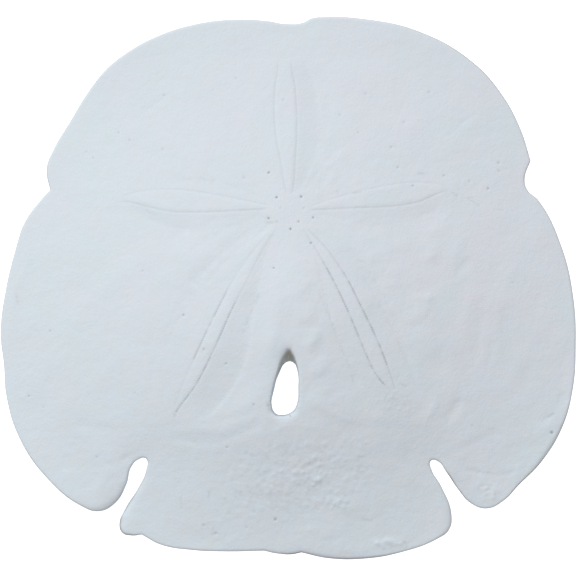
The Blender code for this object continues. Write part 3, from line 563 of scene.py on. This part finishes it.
def petal_at(x, y, petal):
    """(share of the run, distance run, offset, band, left width, right width) at each place."""
    at, offset = nearest(x, y, petal)
    row = np.clip(at.astype(int), 0, len(petal) - 2)
    part = (at - row)[:, None]
    _, _, band, left, right = (petal[row] * (1 - part) + petal[row + 1] * part).T
    steps = np.linalg.norm(np.diff(petal[:, :2], axis=0), axis=1)
    run = np.interp(at, np.arange(len(petal)), np.r_[0, np.cumsum(steps)])
    return run / steps.sum(), run, offset, band, left, right


def pore_row(share, run, out, row, seed):
    """An open row of pores along an inner edge: its depth share and darkness."""
    start, stop, dark, plain = row
    ends = smooth((share - start) / 0.12) * smooth((stop - share) / 0.03)
    dash = 0.5 + 0.5 * np.cos(run * 2 * math.pi / PORE_PITCH)
    gaps = np.clip(0.80 + 0.75 * lumps(run, run * 0, 0.8, seed), 0.2, 1)
    whole = smooth(share / 0.05) * smooth((0.98 - share) / 0.04)
    cut = np.maximum(dark * ends * (0.35 + 0.65 * dash) * gaps, plain * whole)
    return cut * np.exp(-((out / PORE_HALF) ** 2))


def row_plainness(share, row):
    """A groove shows fully only along its open row of pores."""
    begins = smooth((share - row[0] + 0.08) / 0.16)
    ends = smooth((row[1] + 0.05 - share) / 0.12)
    return 0.3 + 0.7 * begins * ends


def pore_zone(out, width, regain):
    """Share of its depth that a pore zone has at each distance from the inner edge."""
    fall = 1 - (1 - np.clip(out / np.maximum(0.92 * width, 0.3), 0, 1)) ** 1.3
    wall = 1 - regain * smooth((out - width + 0.5) / 1.0)
    return fall * wall * smooth(1 - (out - width) / ZONE_REACH) * smooth(width / 2.5)


def petal_relief(x, y, petal, rows, depths, seed):
    """Height and darkness of one petal's zones, grooves, pores and raised band."""
    share, run, offset, band, left, right = petal_at(x, y, petal)
    side = offset > 0
    out = np.abs(offset) - band
    ends = smooth(share / 0.05) * smooth((1 - share) / 0.20)
    width = np.where(side, left, right)
    depth = np.where(side, depths[0], depths[1])
    deep = pore_zone(out, width, np.where(side, depths[4], depths[5])) * ends
    deep *= 0.6 + 0.4 * smooth((share - 0.2) / 0.25)
    groove = np.exp(-((out / GROOVE_HALF) ** 2)) * smooth(band / 0.5)
    groove *= smooth(share / 0.02) * smooth((0.99 - share) / 0.12)
    ink = np.where(side, *(pore_row(share, run, out, rows[i], seed + i) for i in (0, 1)))
    plainness = np.where(side, *(row_plainness(share, rows[i]) for i in (0, 1)))
    rise = BAND_RISE * smooth(-out / 0.8) * ends
    ribs = 0.012 * np.cos(run * 2 * math.pi / PORE_PITCH) * deep
    # The many fine pores of a deep zone grey it faintly
    fade = smooth(out / 0.4) * smooth((width + 0.2 - out) / 0.7) * ends
    ink = np.maximum(ink, ZONE_INK * depth * fade)
    high = rise - depth * deep * (0.45 + 0.55 * plainness) + ribs
    high -= np.where(side, depths[2], depths[3]) * groove * plainness + PORE_DEPTH * ink
    return high, ink


def mound_relief(x, y):
    """Height of all the mounds and hollows."""
    total = np.zeros_like(x)
    for mx, my, along, across, turn, height in MOUNDS:
        c = math.cos(math.radians(turn))
        s = math.sin(math.radians(turn))
        u = ((x - mx) * c + (y - my) * s) / along
        v = ((y - my) * c - (x - mx) * s) / across
        total += height * np.exp(-(u * u + v * v))
    return total


def fold_relief(x, y):
    """Height of all the folds, each a little uneven along its line."""
    total = np.zeros_like(x)
    for places, left, right, height in FOLDS:
        line = smooth_rows(places, 1.0)
        near = near_box(x, y, line, 3 * max(left, right))
        at, offset = nearest(x[near], y[near], line)
        ends = smooth(at / 1.5) * smooth((len(line) - 1 - at) / 1.5)
        reach = np.where(offset > 0, left, right)
        wander = 1 + 0.5 * lumps(x[near], y[near], 2.6, 31) + 0.3 * lumps(x[near], y[near], 1.3, 33)
        total[near] += height * ends * wander * np.exp(-((offset / reach) ** 2))
    return total


def mark_relief(x, y):
    """Depth and darkness of the short dark lines."""
    high, ink = np.zeros_like(x), np.zeros_like(x)
    for places, half, dark, depth in MARKS:
        line = smooth_rows(places, 0.5)
        near = near_box(x, y, line, 3 * half)
        offset = nearest(x[near], y[near], line)[1]
        share = np.exp(-((offset / half) ** 2)) * (0.75 + 0.45 * lumps(x[near], y[near], 0.5, 32))
        high[near] -= depth * share
        ink[near] = np.maximum(ink[near], dark * share)
    return high, ink


def unevenness(x, y):
    """The natural waviness of the surface, from broad to fine."""
    right = smooth((x + 10.0) / 40.0)
    rear = smooth((-24.0 - y) / 10.0)
    broad = 0.09 * lumps(x, y, 9.0, 3) + (0.05 + 0.03 * right) * lumps(x, y, 4.6, 4)
    middle = 0.029 * lumps(x, y, 2.3, 5)
    fine = (0.013 + 0.010 * rear) * lumps(x, y, 1.2, 6)
    # Growth lines across the tail
    lines = 0.016 * rear * lumps(x * 0.35, y, 0.9, 7)
    return broad + middle + fine + lines


def crust_spots():
    """Small bumps and pits of the crusty patches: x, y, radius, height, darkness."""
    random = np.random.default_rng(11)
    spots = []
    for x, y, wide, tall, count, height in CRUSTS:
        for _ in range(count):
            turn = random.uniform(0, 2 * math.pi)
            far = random.uniform(0, 1) ** 0.6
            radius = random.uniform(0.24, 0.5)
            size = height * random.uniform(0.35, 1.3) * (1 if random.uniform() < 0.72 else -0.8)
            place = (x + wide * far * math.cos(turn), y + tall * far * math.sin(turn))
            spots.append((*place, radius, size, CRUST_INK * (size < 0 and height > CRUST_PLAIN)))
    return spots


def outer_pores(petals):
    """Pores along the outer edges of the pore zones: x, y, radius, depth, darkness."""
    random = np.random.default_rng(23)
    found = []
    for name, petal in petals.items():
        side = sideways(petal)
        for sign, column, plain in ((1, 3, PORE_ROWS[name][2]), (-1, 4, PORE_ROWS[name][3])):
            rows = petal[:, :2] + sign * side * (petal[:, 2] + petal[:, column] * OUTER_ROW)[:, None]
            share = np.linspace(0, 1, len(rows))
            for number in range(2, len(rows) - 2):
                strong = plain * math.sin(math.pi * min(1, share[number] * 1.15)) ** 0.7
                dark = strong * random.uniform(0.0, 1.0) ** 1.6
                if dark > 0.04:
                    x, y = rows[number] + random.uniform(-0.12, 0.12, 2)
                    found.append((x, y, random.uniform(0.18, 0.26), 0.25 * dark, 0.75 * dark))
    return found


def add_spots(x, y, high, ink, spots):
    """Presses each spot into the surface or raises it, and darkens it."""
    tree = tree_of(np.c_[x, y])
    for sx, sy, radius, rise, dark in spots:
        for _, number, away in tree.find_range((sx, sy, 0), radius * 2.4):
            share = math.exp(-((away / radius) ** 2))
            high[number] += rise * share
            ink[number] = max(ink[number], dark * math.exp(-((away / radius) ** 4)))


def scar_relief(x, y):
    """A low ring with a sunken middle, higher on its right side."""
    dx, dy = x - SCAR[0], y - SCAR[1]
    away = np.hypot(dx, dy)
    side = 0.65 + 0.35 * np.cos(np.arctan2(dy, dx) - 0.2)
    ring = np.exp(-(((away - SCAR[2]) / 0.3) ** 2))
    inner = 0.4 * np.exp(-(((away - 0.55 * SCAR[2]) / 0.22) ** 2))
    return SCAR[3] * (ring * side + inner)


def rim_rounding(x, y, rim_gap):
    """How far the rounded rim falls below the surface inside it."""
    extra = np.zeros_like(x)
    for rx, ry, reach, more in WIDE_ROUNDS:
        extra = np.maximum(extra, more * np.exp(-((x - rx) ** 2 + (y - ry) ** 2) / reach**2))
    wide = RIM_ROUND + extra
    return RIM_DROP * (wide / RIM_ROUND) ** 0.8 * (1 - quarter(rim_gap / wide))


def upper_side(x, y, shape):
    """Height, pore darkness, painted rim shade with stains, and painted wall shade of the petal side
    at each place.
    """
    rim_gap = loop_gap(x, y, shape["rim"], RIM_FAR)
    high = dome(x, y) - MARGIN_DROOP * np.exp(-rim_gap / MARGIN_REACH)
    ink = np.zeros_like(x)
    for number, (name, petal) in enumerate(shape["petals"].items()):
        near = near_box(x, y, petal, 14.0)
        marks = (PORE_ROWS[name], DEPTHS[name], 40 + 2 * number)
        rise, dark = petal_relief(x[near], y[near], petal, *marks)
        high[near] += rise
        ink[near] = np.maximum(ink[near], dark)
    high += mound_relief(x, y) + fold_relief(x, y) + scar_relief(x, y)
    cut, dark = mark_relief(x, y)
    high += cut
    ink = np.maximum(ink, dark)
    high += unevenness(x, y) * smooth(rim_gap / 2.5)
    spots = [(a, b, r, -d, k) for a, b, r, d, k in DOTS + outer_pores(shape["petals"])]
    spots += crust_spots()
    add_spots(x, y, high, ink, spots)
    high -= rim_rounding(x, y, rim_gap)
    high, painted_wall_shade = lunule_edge(x, y, high, shape)
    return high, ink, rim_shade_and_stain(x, y, rim_gap), painted_wall_shade


def lunule_edge(x, y, high, shape):
    """A rounded lip, then a wall down to the narrowest line: height, and the painted tan shade of
    the wall.
    """
    top_gap = loop_gap(x, y, shape["lunule_top"], LUNULE_FAR)
    hole_gap = loop_gap(x, y, shape["lunule"], LUNULE_FAR)
    within = inside(x, y, shape["lunule_top"])
    front = smooth((y + 17.0) / 3.0)
    rear = smooth((-24.6 - y) / 1.4)
    lip_drop = LIP_DROP * (1 + front + 1.6 * rear)
    lip_width = LIP_ROUND + FRONT_LIP * front + REAR_LIP * rear
    lip = high - lip_drop * (1 - quarter(top_gap / lip_width))
    climb = hole_gap / np.maximum(hole_gap + top_gap, 1e-6)
    wall = LUNULE_EDGE + (high - lip_drop - LUNULE_EDGE) * climb
    # Painted shade: the front and the left of the wall face away from the light and are darkened
    # tan, and a little of it spreads onto the front lip
    painted_shade_reach = smooth((y + 16.4) / 2.4) + 0.8 * smooth((y + 20.5) / 3.0) * smooth(-x - 0.6)
    painted_wall_shade = PAINTED_WALL_SHADE_SHARE * within * smooth(0.3 + top_gap / 0.9)
    painted_wall_shade += PAINTED_LIP_SHADE_SHARE * front * (1 - within) * smooth(0.6 - top_gap / 1.4)
    return np.where(within, wall, lip), np.minimum(painted_shade_reach * painted_wall_shade, 0.8)


def rim_shade_and_stain(x, y, rim_gap):
    """Brown-grey darkening that reaches a little way over the rim: painted edge shade all round and
    along some stretches, with some staining.
    """
    total = RIM_EDGE_SHADE * smooth((0.25 - rim_gap) / 0.2)
    for sx, sy, reach, wide, dark in RIM_SHADE_AND_STAINS:
        near = np.exp(-(((x - sx) ** 2 + (y - sy) ** 2) / reach**2) ** 2)
        total = np.maximum(total, dark * near * smooth((wide - rim_gap) / 0.2))
    return total


def food_relief(x, y, grooves):
    """Depth of the food grooves, fading out towards the rim."""
    total = np.zeros_like(x)
    for line in grooves:
        near = near_box(x, y, line, 3.0)
        at, offset = nearest(x[near], y[near], line)
        fade = smooth((len(line) - 1 - at) / (0.35 * len(line)))
        total[near] = np.maximum(total[near], fade * np.exp(-((offset / FOOD_HALF) ** 2)))
    return FOOD_DEPTH * total


def lower_side(x, y, shape):
    """Height of the flat mouth side: 0 but for its grooves, pits and edges."""
    rim_gap = loop_gap(x, y, shape["rim"], RIM_FAR)
    low = UNDER_LIFT * smooth((UNDER_LIFT_REACH - rim_gap) / UNDER_LIFT_REACH) ** 2
    low += (UNDER_EDGE - UNDER_LIFT) * (1 - quarter(rim_gap / UNDER_ROUND))
    hole_gap = loop_gap(x, y, shape["lunule"], LUNULE_FAR)
    low += UNDER_EDGE * (1 - quarter(hole_gap / UNDER_ROUND))
    low += food_relief(x, y, shape["grooves"])
    low += 0.03 * (1 + lumps(x, y, 5.0, 8)) * smooth(rim_gap / 3.0)
    for centre, radius, depth in PITS:
        away = np.hypot(x - centre[0], y - centre[1]) / radius
        low += depth * smooth((1.0 - away) / 0.45)
    return low


def inset(loop, by):
    """The places of a loop moved inwards, and which of them don't crowd at a sharp turn."""
    run = np.roll(loop, -1, axis=0) - loop
    run /= np.linalg.norm(run, axis=1)[:, None]
    ahead = run + np.roll(run, 1, axis=0)
    ahead /= np.linalg.norm(ahead, axis=1)[:, None]
    moved = loop + by * np.c_[-ahead[:, 1], ahead[:, 0]]
    gap = loop_gap(moved[:, 0], moved[:, 1], loop, 6.0)
    return moved, gap >= abs(by) * 0.9


def edges(shape):
    """The rim and the narrowest line of the lunule, with every place kept."""
    return [(shape[name], np.full(len(shape[name]), True)) for name in ("rim", "lunule")]


def ring_lines(rings):
    """The places of some rings, and the lines that run along each of them."""
    places, lines = [], []
    for ring, good in rings:
        number = sum(len(part) for part in places) + np.cumsum(good) - 1
        follow = good & np.roll(good, -1)
        lines += list(zip(number[follow], np.roll(number, -1)[follow]))
        places.append(ring[good])
    return np.vstack(places), [(int(a), int(b)) for a, b in lines]


def honeycomb(step):
    """Evenly spaced places over the whole shell, in rows set off by half a step."""
    rows = []
    for number, y in enumerate(np.arange(-60.0, 60.0, step * math.sqrt(3) / 2)):
        x = np.arange(-62.0, 62.0, step) + (number % 2) * step / 2
        rows.append(np.c_[x, np.full(len(x), y)])
    return np.vstack(rows)


def petal_rows():
    """Places along the inner edges of the petals, close enough for each pore."""
    found = []
    for rows in PETALS.values():
        petal = smooth_rows(rows, ROW_STEP)
        petal = petal[petal[:, 2] > NARROWEST_BAND]
        side = sideways(petal)
        for sign in (1, -1):
            for offset in ROW_OFFSETS:
                found.append(petal[:, :2] + sign * side * (petal[:, 2] + offset)[:, None])
    return np.vstack(found)


def petal_fineness(x, y, petals):
    """Level of the mesh by the petals: -1 on their inner edges, 1 along their outer edges."""
    level = np.zeros(len(x), int)
    for petal in petals.values():
        near = near_box(x, y, petal, 8.0)
        share, _, offset, band, left, right = petal_at(x[near], y[near], petal)
        out = np.abs(offset) - band
        width = np.where(offset > 0, left, right)
        found = level[near]
        found[(np.abs(out - OUTER_ROW * width) < 0.45) & (share > 0) & (share < 1)] = 1
        found[(np.abs(out) < ROW_ROOM) & (band > NARROWEST_BAND) & (share > 0) & (share < 1)] = -1
        level[near] = np.where(level[near] == -1, -1, np.maximum(level[near], found))
        level[near] = np.where(found == -1, -1, level[near])
    return level


def fineness(x, y, shape):
    """How fine the mesh is: 0 plain, 1 rough patches, 2 the finest marks, -1 has its own."""
    level = np.zeros(len(x), int)
    for cx, cy, wide, tall, _, height in CRUSTS:
        if height > CRUST_PLAIN:
            level[((x - cx) / (wide + 0.5)) ** 2 + ((y - cy) / (tall + 0.5)) ** 2 < 1] = 1
    for places, left, right, _ in FOLDS:
        if min(left, right) < FOLD_PLAIN:
            level[beside(x, y, places, 1.0, 0.9)] = 1
    level[loop_gap(x, y, shape["lunule_top"], LUNULE_FAR) < 2.0] = 1
    level[np.hypot(x - SCAR[0], y - SCAR[1]) < 2.3] = 2
    for dx, dy, radius, _, _ in DOTS:
        level[np.hypot(x - dx, y - dy) < radius * 2.6] = 2
    for places, half, _, _ in MARKS:
        level[beside(x, y, places, 0.5, 2.2 * half)] = 2
    petals = petal_fineness(x, y, shape["petals"])
    return np.where(petals == -1, -1, np.maximum(level, petals))


def upper_places(shape):
    """Places of the petal side: edges and rings, then honeycombs of three finenesses."""
    rim, top = shape["rim"], shape["lunule_top"]
    rings = [inset(rim, by) for by in RIM_RINGS] + [inset(top, -by) for by in LIP_RINGS]
    places, lines = ring_lines(edges(shape) + rings)
    kept = [places]
    for level, step in ((0, PLAIN_STEP), (1, ROUGH_STEP), (2, FINE_STEP)):
        grid = honeycomb(step)
        x, y = grid.T
        ok = inside(x, y, rim)
        grid, x, y = grid[ok], x[ok], y[ok]
        ok = fineness(x, y, shape) == level
        grid, x, y = grid[ok], x[ok], y[ok]
        rim_ok = loop_gap(x, y, rim, 3.0) > 0.75 + 0.6 * step
        top_ok = loop_gap(x, y, top, LUNULE_FAR) > 1.1 + 0.6 * step
        kept.append(grid[rim_ok & top_ok & ~inside(x, y, top)])
    kept += [wall_places(shape), petal_rows()]
    return np.vstack(kept), lines


def wall_places(shape):
    """Places on the sloping front wall of the lunule."""
    grid = honeycomb(FINE_STEP)
    grid = grid[near_box(grid[:, 0], grid[:, 1], shape["lunule_top"], 0)]
    x, y = grid.T
    ok = inside(x, y, shape["lunule_top"]) & ~inside(x, y, shape["lunule"])
    ok &= loop_gap(x, y, shape["lunule_top"], LUNULE_FAR) > 0.12
    return grid[ok & (loop_gap(x, y, shape["lunule"], LUNULE_FAR) > 0.12)]


def lower_places(shape):
    """Places of the mouth side."""
    rim, hole = shape["rim"], shape["lunule"]
    rings = [inset(rim, by) for by in UNDER_RINGS] + [inset(hole, -by) for by in UNDER_RINGS]
    places, lines = ring_lines(edges(shape) + rings)
    kept = [places]
    for fine, step in ((False, UNDER_STEP), (True, UNDER_FINE_STEP)):
        grid = honeycomb(step)
        x, y = grid.T
        groove = np.full(len(x), False)
        for line in shape["grooves"]:
            near = near_box(x, y, line, 2.0)
            groove[near] |= np.abs(nearest(x[near], y[near], line)[1]) < 1.2
        for centre, radius, _ in PITS:
            groove |= np.hypot(x - centre[0], y - centre[1]) < radius + 0.3
        ok = inside(x, y, rim) & ~inside(x, y, hole) & (groove == fine)
        ok &= loop_gap(x, y, rim, 3.0) > 0.85 + 0.4 * step
        kept.append(grid[ok & (loop_gap(x, y, hole, 3.0) > 0.85 + 0.4 * step)])
    return np.vstack(kept), lines


def triangles(places, lines, hole):
    """Triangles between the places that keep to the lines, with the hole left open."""
    found = delaunay_2d_cdt([tuple(p) for p in places], lines, [], 1, 1e-7)
    points = np.array([tuple(p) for p in found[0]])
    faces = np.array([tuple(f) for f in found[2]])
    middle = points[faces].mean(axis=1)
    return points, faces[~inside(middle[:, 0], middle[:, 1], hole)]


def wall_faces(shift, rim_count, hole_count):
    """Faces between the upper and the lower edge of the rim and of the lunule."""
    faces = []
    for start, count, turn in ((0, rim_count, 1), (rim_count, hole_count, -1)):
        for i in range(count):
            a, b = start + i, start + (i + 1) % count
            if turn < 0:
                a, b = b, a
            faces += [(a, shift + a, shift + b), (a, shift + b, b)]
    return np.array(faces)


def shell_mesh():
    """The whole shell as one closed mesh, with what its material reads."""
    shape = {
        "rim": outline("rim_guide", RIM, 12),
        "lunule": outline("lunule_guide", LUNULE, 12),
        "lunule_top": outline("lunule_top_guide", LUNULE_TOP, 12),
        "petals": {name: smooth_rows(rows, 0.5) for name, rows in PETALS.items()},
        "grooves": [],
    }
    for places in FOOD_GROOVES:
        for side in (1, -1):
            mirrored = [(side * (x - MOUTH[0]) + MOUTH[0], y) for x, y in places]
            shape["grooves"].append(smooth_rows(mirrored, 2.0))
    up_xy, up_faces = triangles(*upper_places(shape), shape["lunule"])
    low_xy, low_faces = triangles(*lower_places(shape), shape["lunule"])
    high, *marks = upper_side(up_xy[:, 0], up_xy[:, 1], shape)
    low = lower_side(low_xy[:, 0], low_xy[:, 1], shape)
    points = np.vstack([np.c_[up_xy, high], np.c_[low_xy, low]]) * MM
    shift = len(up_xy)
    walls = wall_faces(shift, len(shape["rim"]), len(shape["lunule"]))
    faces = np.vstack([up_faces, low_faces[:, ::-1] + shift, walls])
    mesh = bpy.data.meshes.new("sand_dollar_shell")
    mesh.from_pydata([tuple(p) for p in points], [], [tuple(f) for f in faces.tolist()])
    for name, values in zip(MARK_NAMES, marks):
        field = mesh.attributes.new(name, "FLOAT", "POINT")
        field.data.foreach_set("value", np.r_[values, np.zeros(len(low))].astype(np.float32))
    mesh.polygons.foreach_set("use_smooth", np.ones(len(mesh.polygons), bool))
    print("triangles", len(faces), "upper places", shift)
    return mesh


class Nodes:
    """Short ways of adding and joining the nodes of one material."""

    def __init__(self, name):
        self.material = bpy.data.materials.new(name)
        self.material.use_nodes = True
        self.tree = self.material.node_tree
        self.shader = self.tree.nodes["Principled BSDF"]

    def add(self, kind, links=(), **values):
        node = self.tree.nodes.new(kind)
        for key, value in values.items():
            setattr(node, key, value)
        for socket, source in links:
            self.link(source, node, socket)
        return node

    def link(self, source, node, socket):
        if isinstance(source, bpy.types.NodeSocket):
            self.tree.links.new(source, node.inputs[socket])
        else:
            node.inputs[socket].default_value = source

    def attribute(self, name):
        return self.add("ShaderNodeAttribute", attribute_name=name).outputs["Fac"]

    def noise(self, where, scale, detail=2.0, rough=0.5):
        links = (("Vector", where), ("Scale", scale), ("Detail", detail), ("Roughness", rough))
        return self.add("ShaderNodeTexNoise", links).outputs["Fac"]

    def ramp(self, value, low, high, to_low=0.0, to_high=1.0):
        links = ((0, value), (1, low), (2, high), (3, to_low), (4, to_high))
        return self.add("ShaderNodeMapRange", links).outputs[0]

    def math(self, how, a, b):
        return self.add("ShaderNodeMath", ((0, a), (1, b)), operation=how).outputs[0]

    def mix(self, share, a, b, how="MIX"):
        node = self.add("ShaderNodeMix", data_type="RGBA", blend_type=how)
        self.link(share, node, "Factor")
        self.link(a, node, 6)
        self.link(b, node, 7)
        return node.outputs[2]


SHELL_WHITE = (0.729, 0.791, 0.848, 1)
SHELL_GREEN = (0.713, 0.796, 0.843, 1)
SHELL_MAUVE = (0.751, 0.783, 0.847, 1)
SHELL_REAR = (0.710, 0.797, 0.851, 1)
# Painted shade towards the right side
RIGHT_SIDE_SHADE = (0.962, 0.954, 0.954, 1)
COOL_TINT = (0.986, 1.002, 1.0, 1)
ROSY_TINT = (1.014, 0.998, 1.0, 1)
DULL_TINT = (1.009, 1.0, 0.982, 1)
BLUE_TINT = (0.991, 1.0, 1.018, 1)
SHELL_SAND = (0.740, 0.735, 0.680, 1)
PORE_GREY = (0.20, 0.20, 0.19, 1)
# Colour of the painted rim shade and its stains
RIM_SHADE_BROWN = (0.17, 0.15, 0.135, 1)
# Colour of the painted shade on the lunule wall
PAINTED_WALL_SHADE = (0.47, 0.43, 0.28, 1)


def shell_material():
    """Chalky bleached calcite: faint cool mottling, fine granules, dark pores, and painted shade on
    its right side, along its rim and on the lunule wall.
    """
    n = Nodes("bleached_shell")
    where = n.add("ShaderNodeTexCoord").outputs["Object"]
    ink, rim_shade_and_stain, painted_wall_shade = (n.attribute(name) for name in MARK_NAMES)
    green = n.ramp(n.noise(where, 50.0, 3.0, 0.55), 0.46, 0.62)
    place = n.add("ShaderNodeSeparateXYZ", (("Vector", where),))
    right = n.ramp(place.outputs["X"], -0.04, 0.05, 0.1, 1.0)
    mauve = n.math("MULTIPLY", n.ramp(n.noise(where, 80.0, 3.0, 0.6), 0.40, 0.62), right)
    sand = n.ramp(n.noise(where, 520.0, 2.0), 0.70, 0.80, 0.0, 0.3)
    colour = n.mix(green, SHELL_WHITE, SHELL_GREEN)
    colour = n.mix(mauve, colour, SHELL_MAUVE)
    colour = n.mix(n.ramp(place.outputs["Y"], 0.0, -0.045, 0.0, 0.6), colour, SHELL_REAR)
    colour = n.mix(sand, colour, SHELL_SAND)
    # Painted shade: the colour darkens towards the right side
    colour = n.mix(n.ramp(place.outputs["X"], -0.06, 0.045), colour, RIGHT_SIDE_SHADE, "MULTIPLY")
    # Small blotches of either tint, plainer towards the tail
    plain = n.ramp(place.outputs["Y"], 0.01, -0.03, 0.6, 1.0)
    for scale, tints in ((170.0, (COOL_TINT, ROSY_TINT)), (290.0, (DULL_TINT, BLUE_TINT))):
        swing = n.ramp(n.noise(where, scale, 5.0, 0.7), 0.35, 0.65, -0.5, 0.5)
        share = n.math("ADD", n.math("MULTIPLY", swing, plain), 0.5)
        colour = n.mix(1.0, colour, n.mix(share, *tints), "MULTIPLY")
    colour = n.mix(n.math("MULTIPLY", ink, 0.85), colour, PORE_GREY)
    # Painted shade where the rim edge turns from the light, with some brown staining
    colour = n.mix(rim_shade_and_stain, colour, RIM_SHADE_BROWN)
    # Painted shade of the lunule's front wall, in tan
    colour = n.mix(painted_wall_shade, colour, PAINTED_WALL_SHADE)
    n.link(colour, n.shader, "Base Color")
    n.shader.inputs["Roughness"].default_value = 0.86
    n.shader.inputs["Specular IOR Level"].default_value = 0.25
    grain = n.noise(where, 800.0, 4.0, 0.65)
    dots = n.add("ShaderNodeTexVoronoi", (("Vector", where), ("Scale", 2200.0)), feature="F1")
    granules = n.ramp(dots.outputs["Distance"], 0.0, 0.6, 1.0, 0.0)
    height = n.math("ADD", grain, n.math("MULTIPLY", granules, 0.12))
    bump = n.add("ShaderNodeBump", (("Strength", 1.0), ("Distance", 0.00012), ("Height", height)))
    n.link(bump.outputs["Normal"], n.shader, "Normal")
    return n.material


def build_shell():
    shell = bpy.data.objects.new("sand_dollar_shell", shell_mesh())
    bpy.context.scene.collection.objects.link(shell)
    shell.data.materials.append(shell_material())
    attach(shell, "root")
    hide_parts("sand_dollar")


def build_table():
    bpy.ops.mesh.primitive_plane_add(size=6.0, location=(0, 0, -0.0001))
    floor = bpy.context.object
    floor.name = "white_table"
    n = Nodes("white_table")
    n.shader.inputs["Base Color"].default_value = (0.92, 0.92, 0.92, 1)
    n.shader.inputs["Roughness"].default_value = 0.9
    n.shader.inputs["Emission Color"].default_value = (1, 1, 1, 1)
    n.shader.inputs["Emission Strength"].default_value = 0.9
    floor.data.materials.append(n.material)
    floor.visible_diffuse = False


def area_light(name, place, size, power, colour):
    data = bpy.data.lights.new(name, "AREA")
    data.size = size
    data.energy = power
    data.color = colour
    lamp = bpy.data.objects.new(name, data)
    lamp.location = place
    lamp.rotation_euler = Vector(place).to_track_quat("Z", "Y").to_euler()
    bpy.context.scene.collection.objects.link(lamp)


def build_lights():
    """Soft light from the upper left of the picture, with a bright surround."""
    area_light("soft_key", (-1.35, 2.4, 2.85), 1.7, 89.0, (0.955, 1.0, 1.0))
    world = bpy.data.worlds.new("pale_surround")
    bpy.context.scene.world = world
    world.use_nodes = True
    sky = world.node_tree.nodes["Background"]
    sky.inputs["Color"].default_value = (1.04, 1.0, 1.0, 1)
    sky.inputs["Strength"].default_value = 0.50


# The picture spans 120.15 mm and its middle lies just behind the middle of the shell
PICTURE_WIDTH = 0.12015
CAMERA_HEIGHT = 2.0
PICTURE_MIDDLE = (0.0, -0.00006)
RIM_LINE = 0.0018


def build_camera():
    data = bpy.data.cameras.new("camera")
    data.sensor_width = 36.0
    data.lens = 36.0 * CAMERA_HEIGHT / PICTURE_WIDTH
    data.clip_end = 20.0
    camera = bpy.data.objects.new("camera", data)
    camera.location = (*PICTURE_MIDDLE, CAMERA_HEIGHT + RIM_LINE)
    bpy.context.scene.collection.objects.link(camera)
    bpy.context.scene.camera = camera
    bpy.context.scene.view_settings.view_transform = "Standard"
    bpy.context.scene.view_settings.look = "None"


build_shell()
build_table()
build_lights()
build_camera()
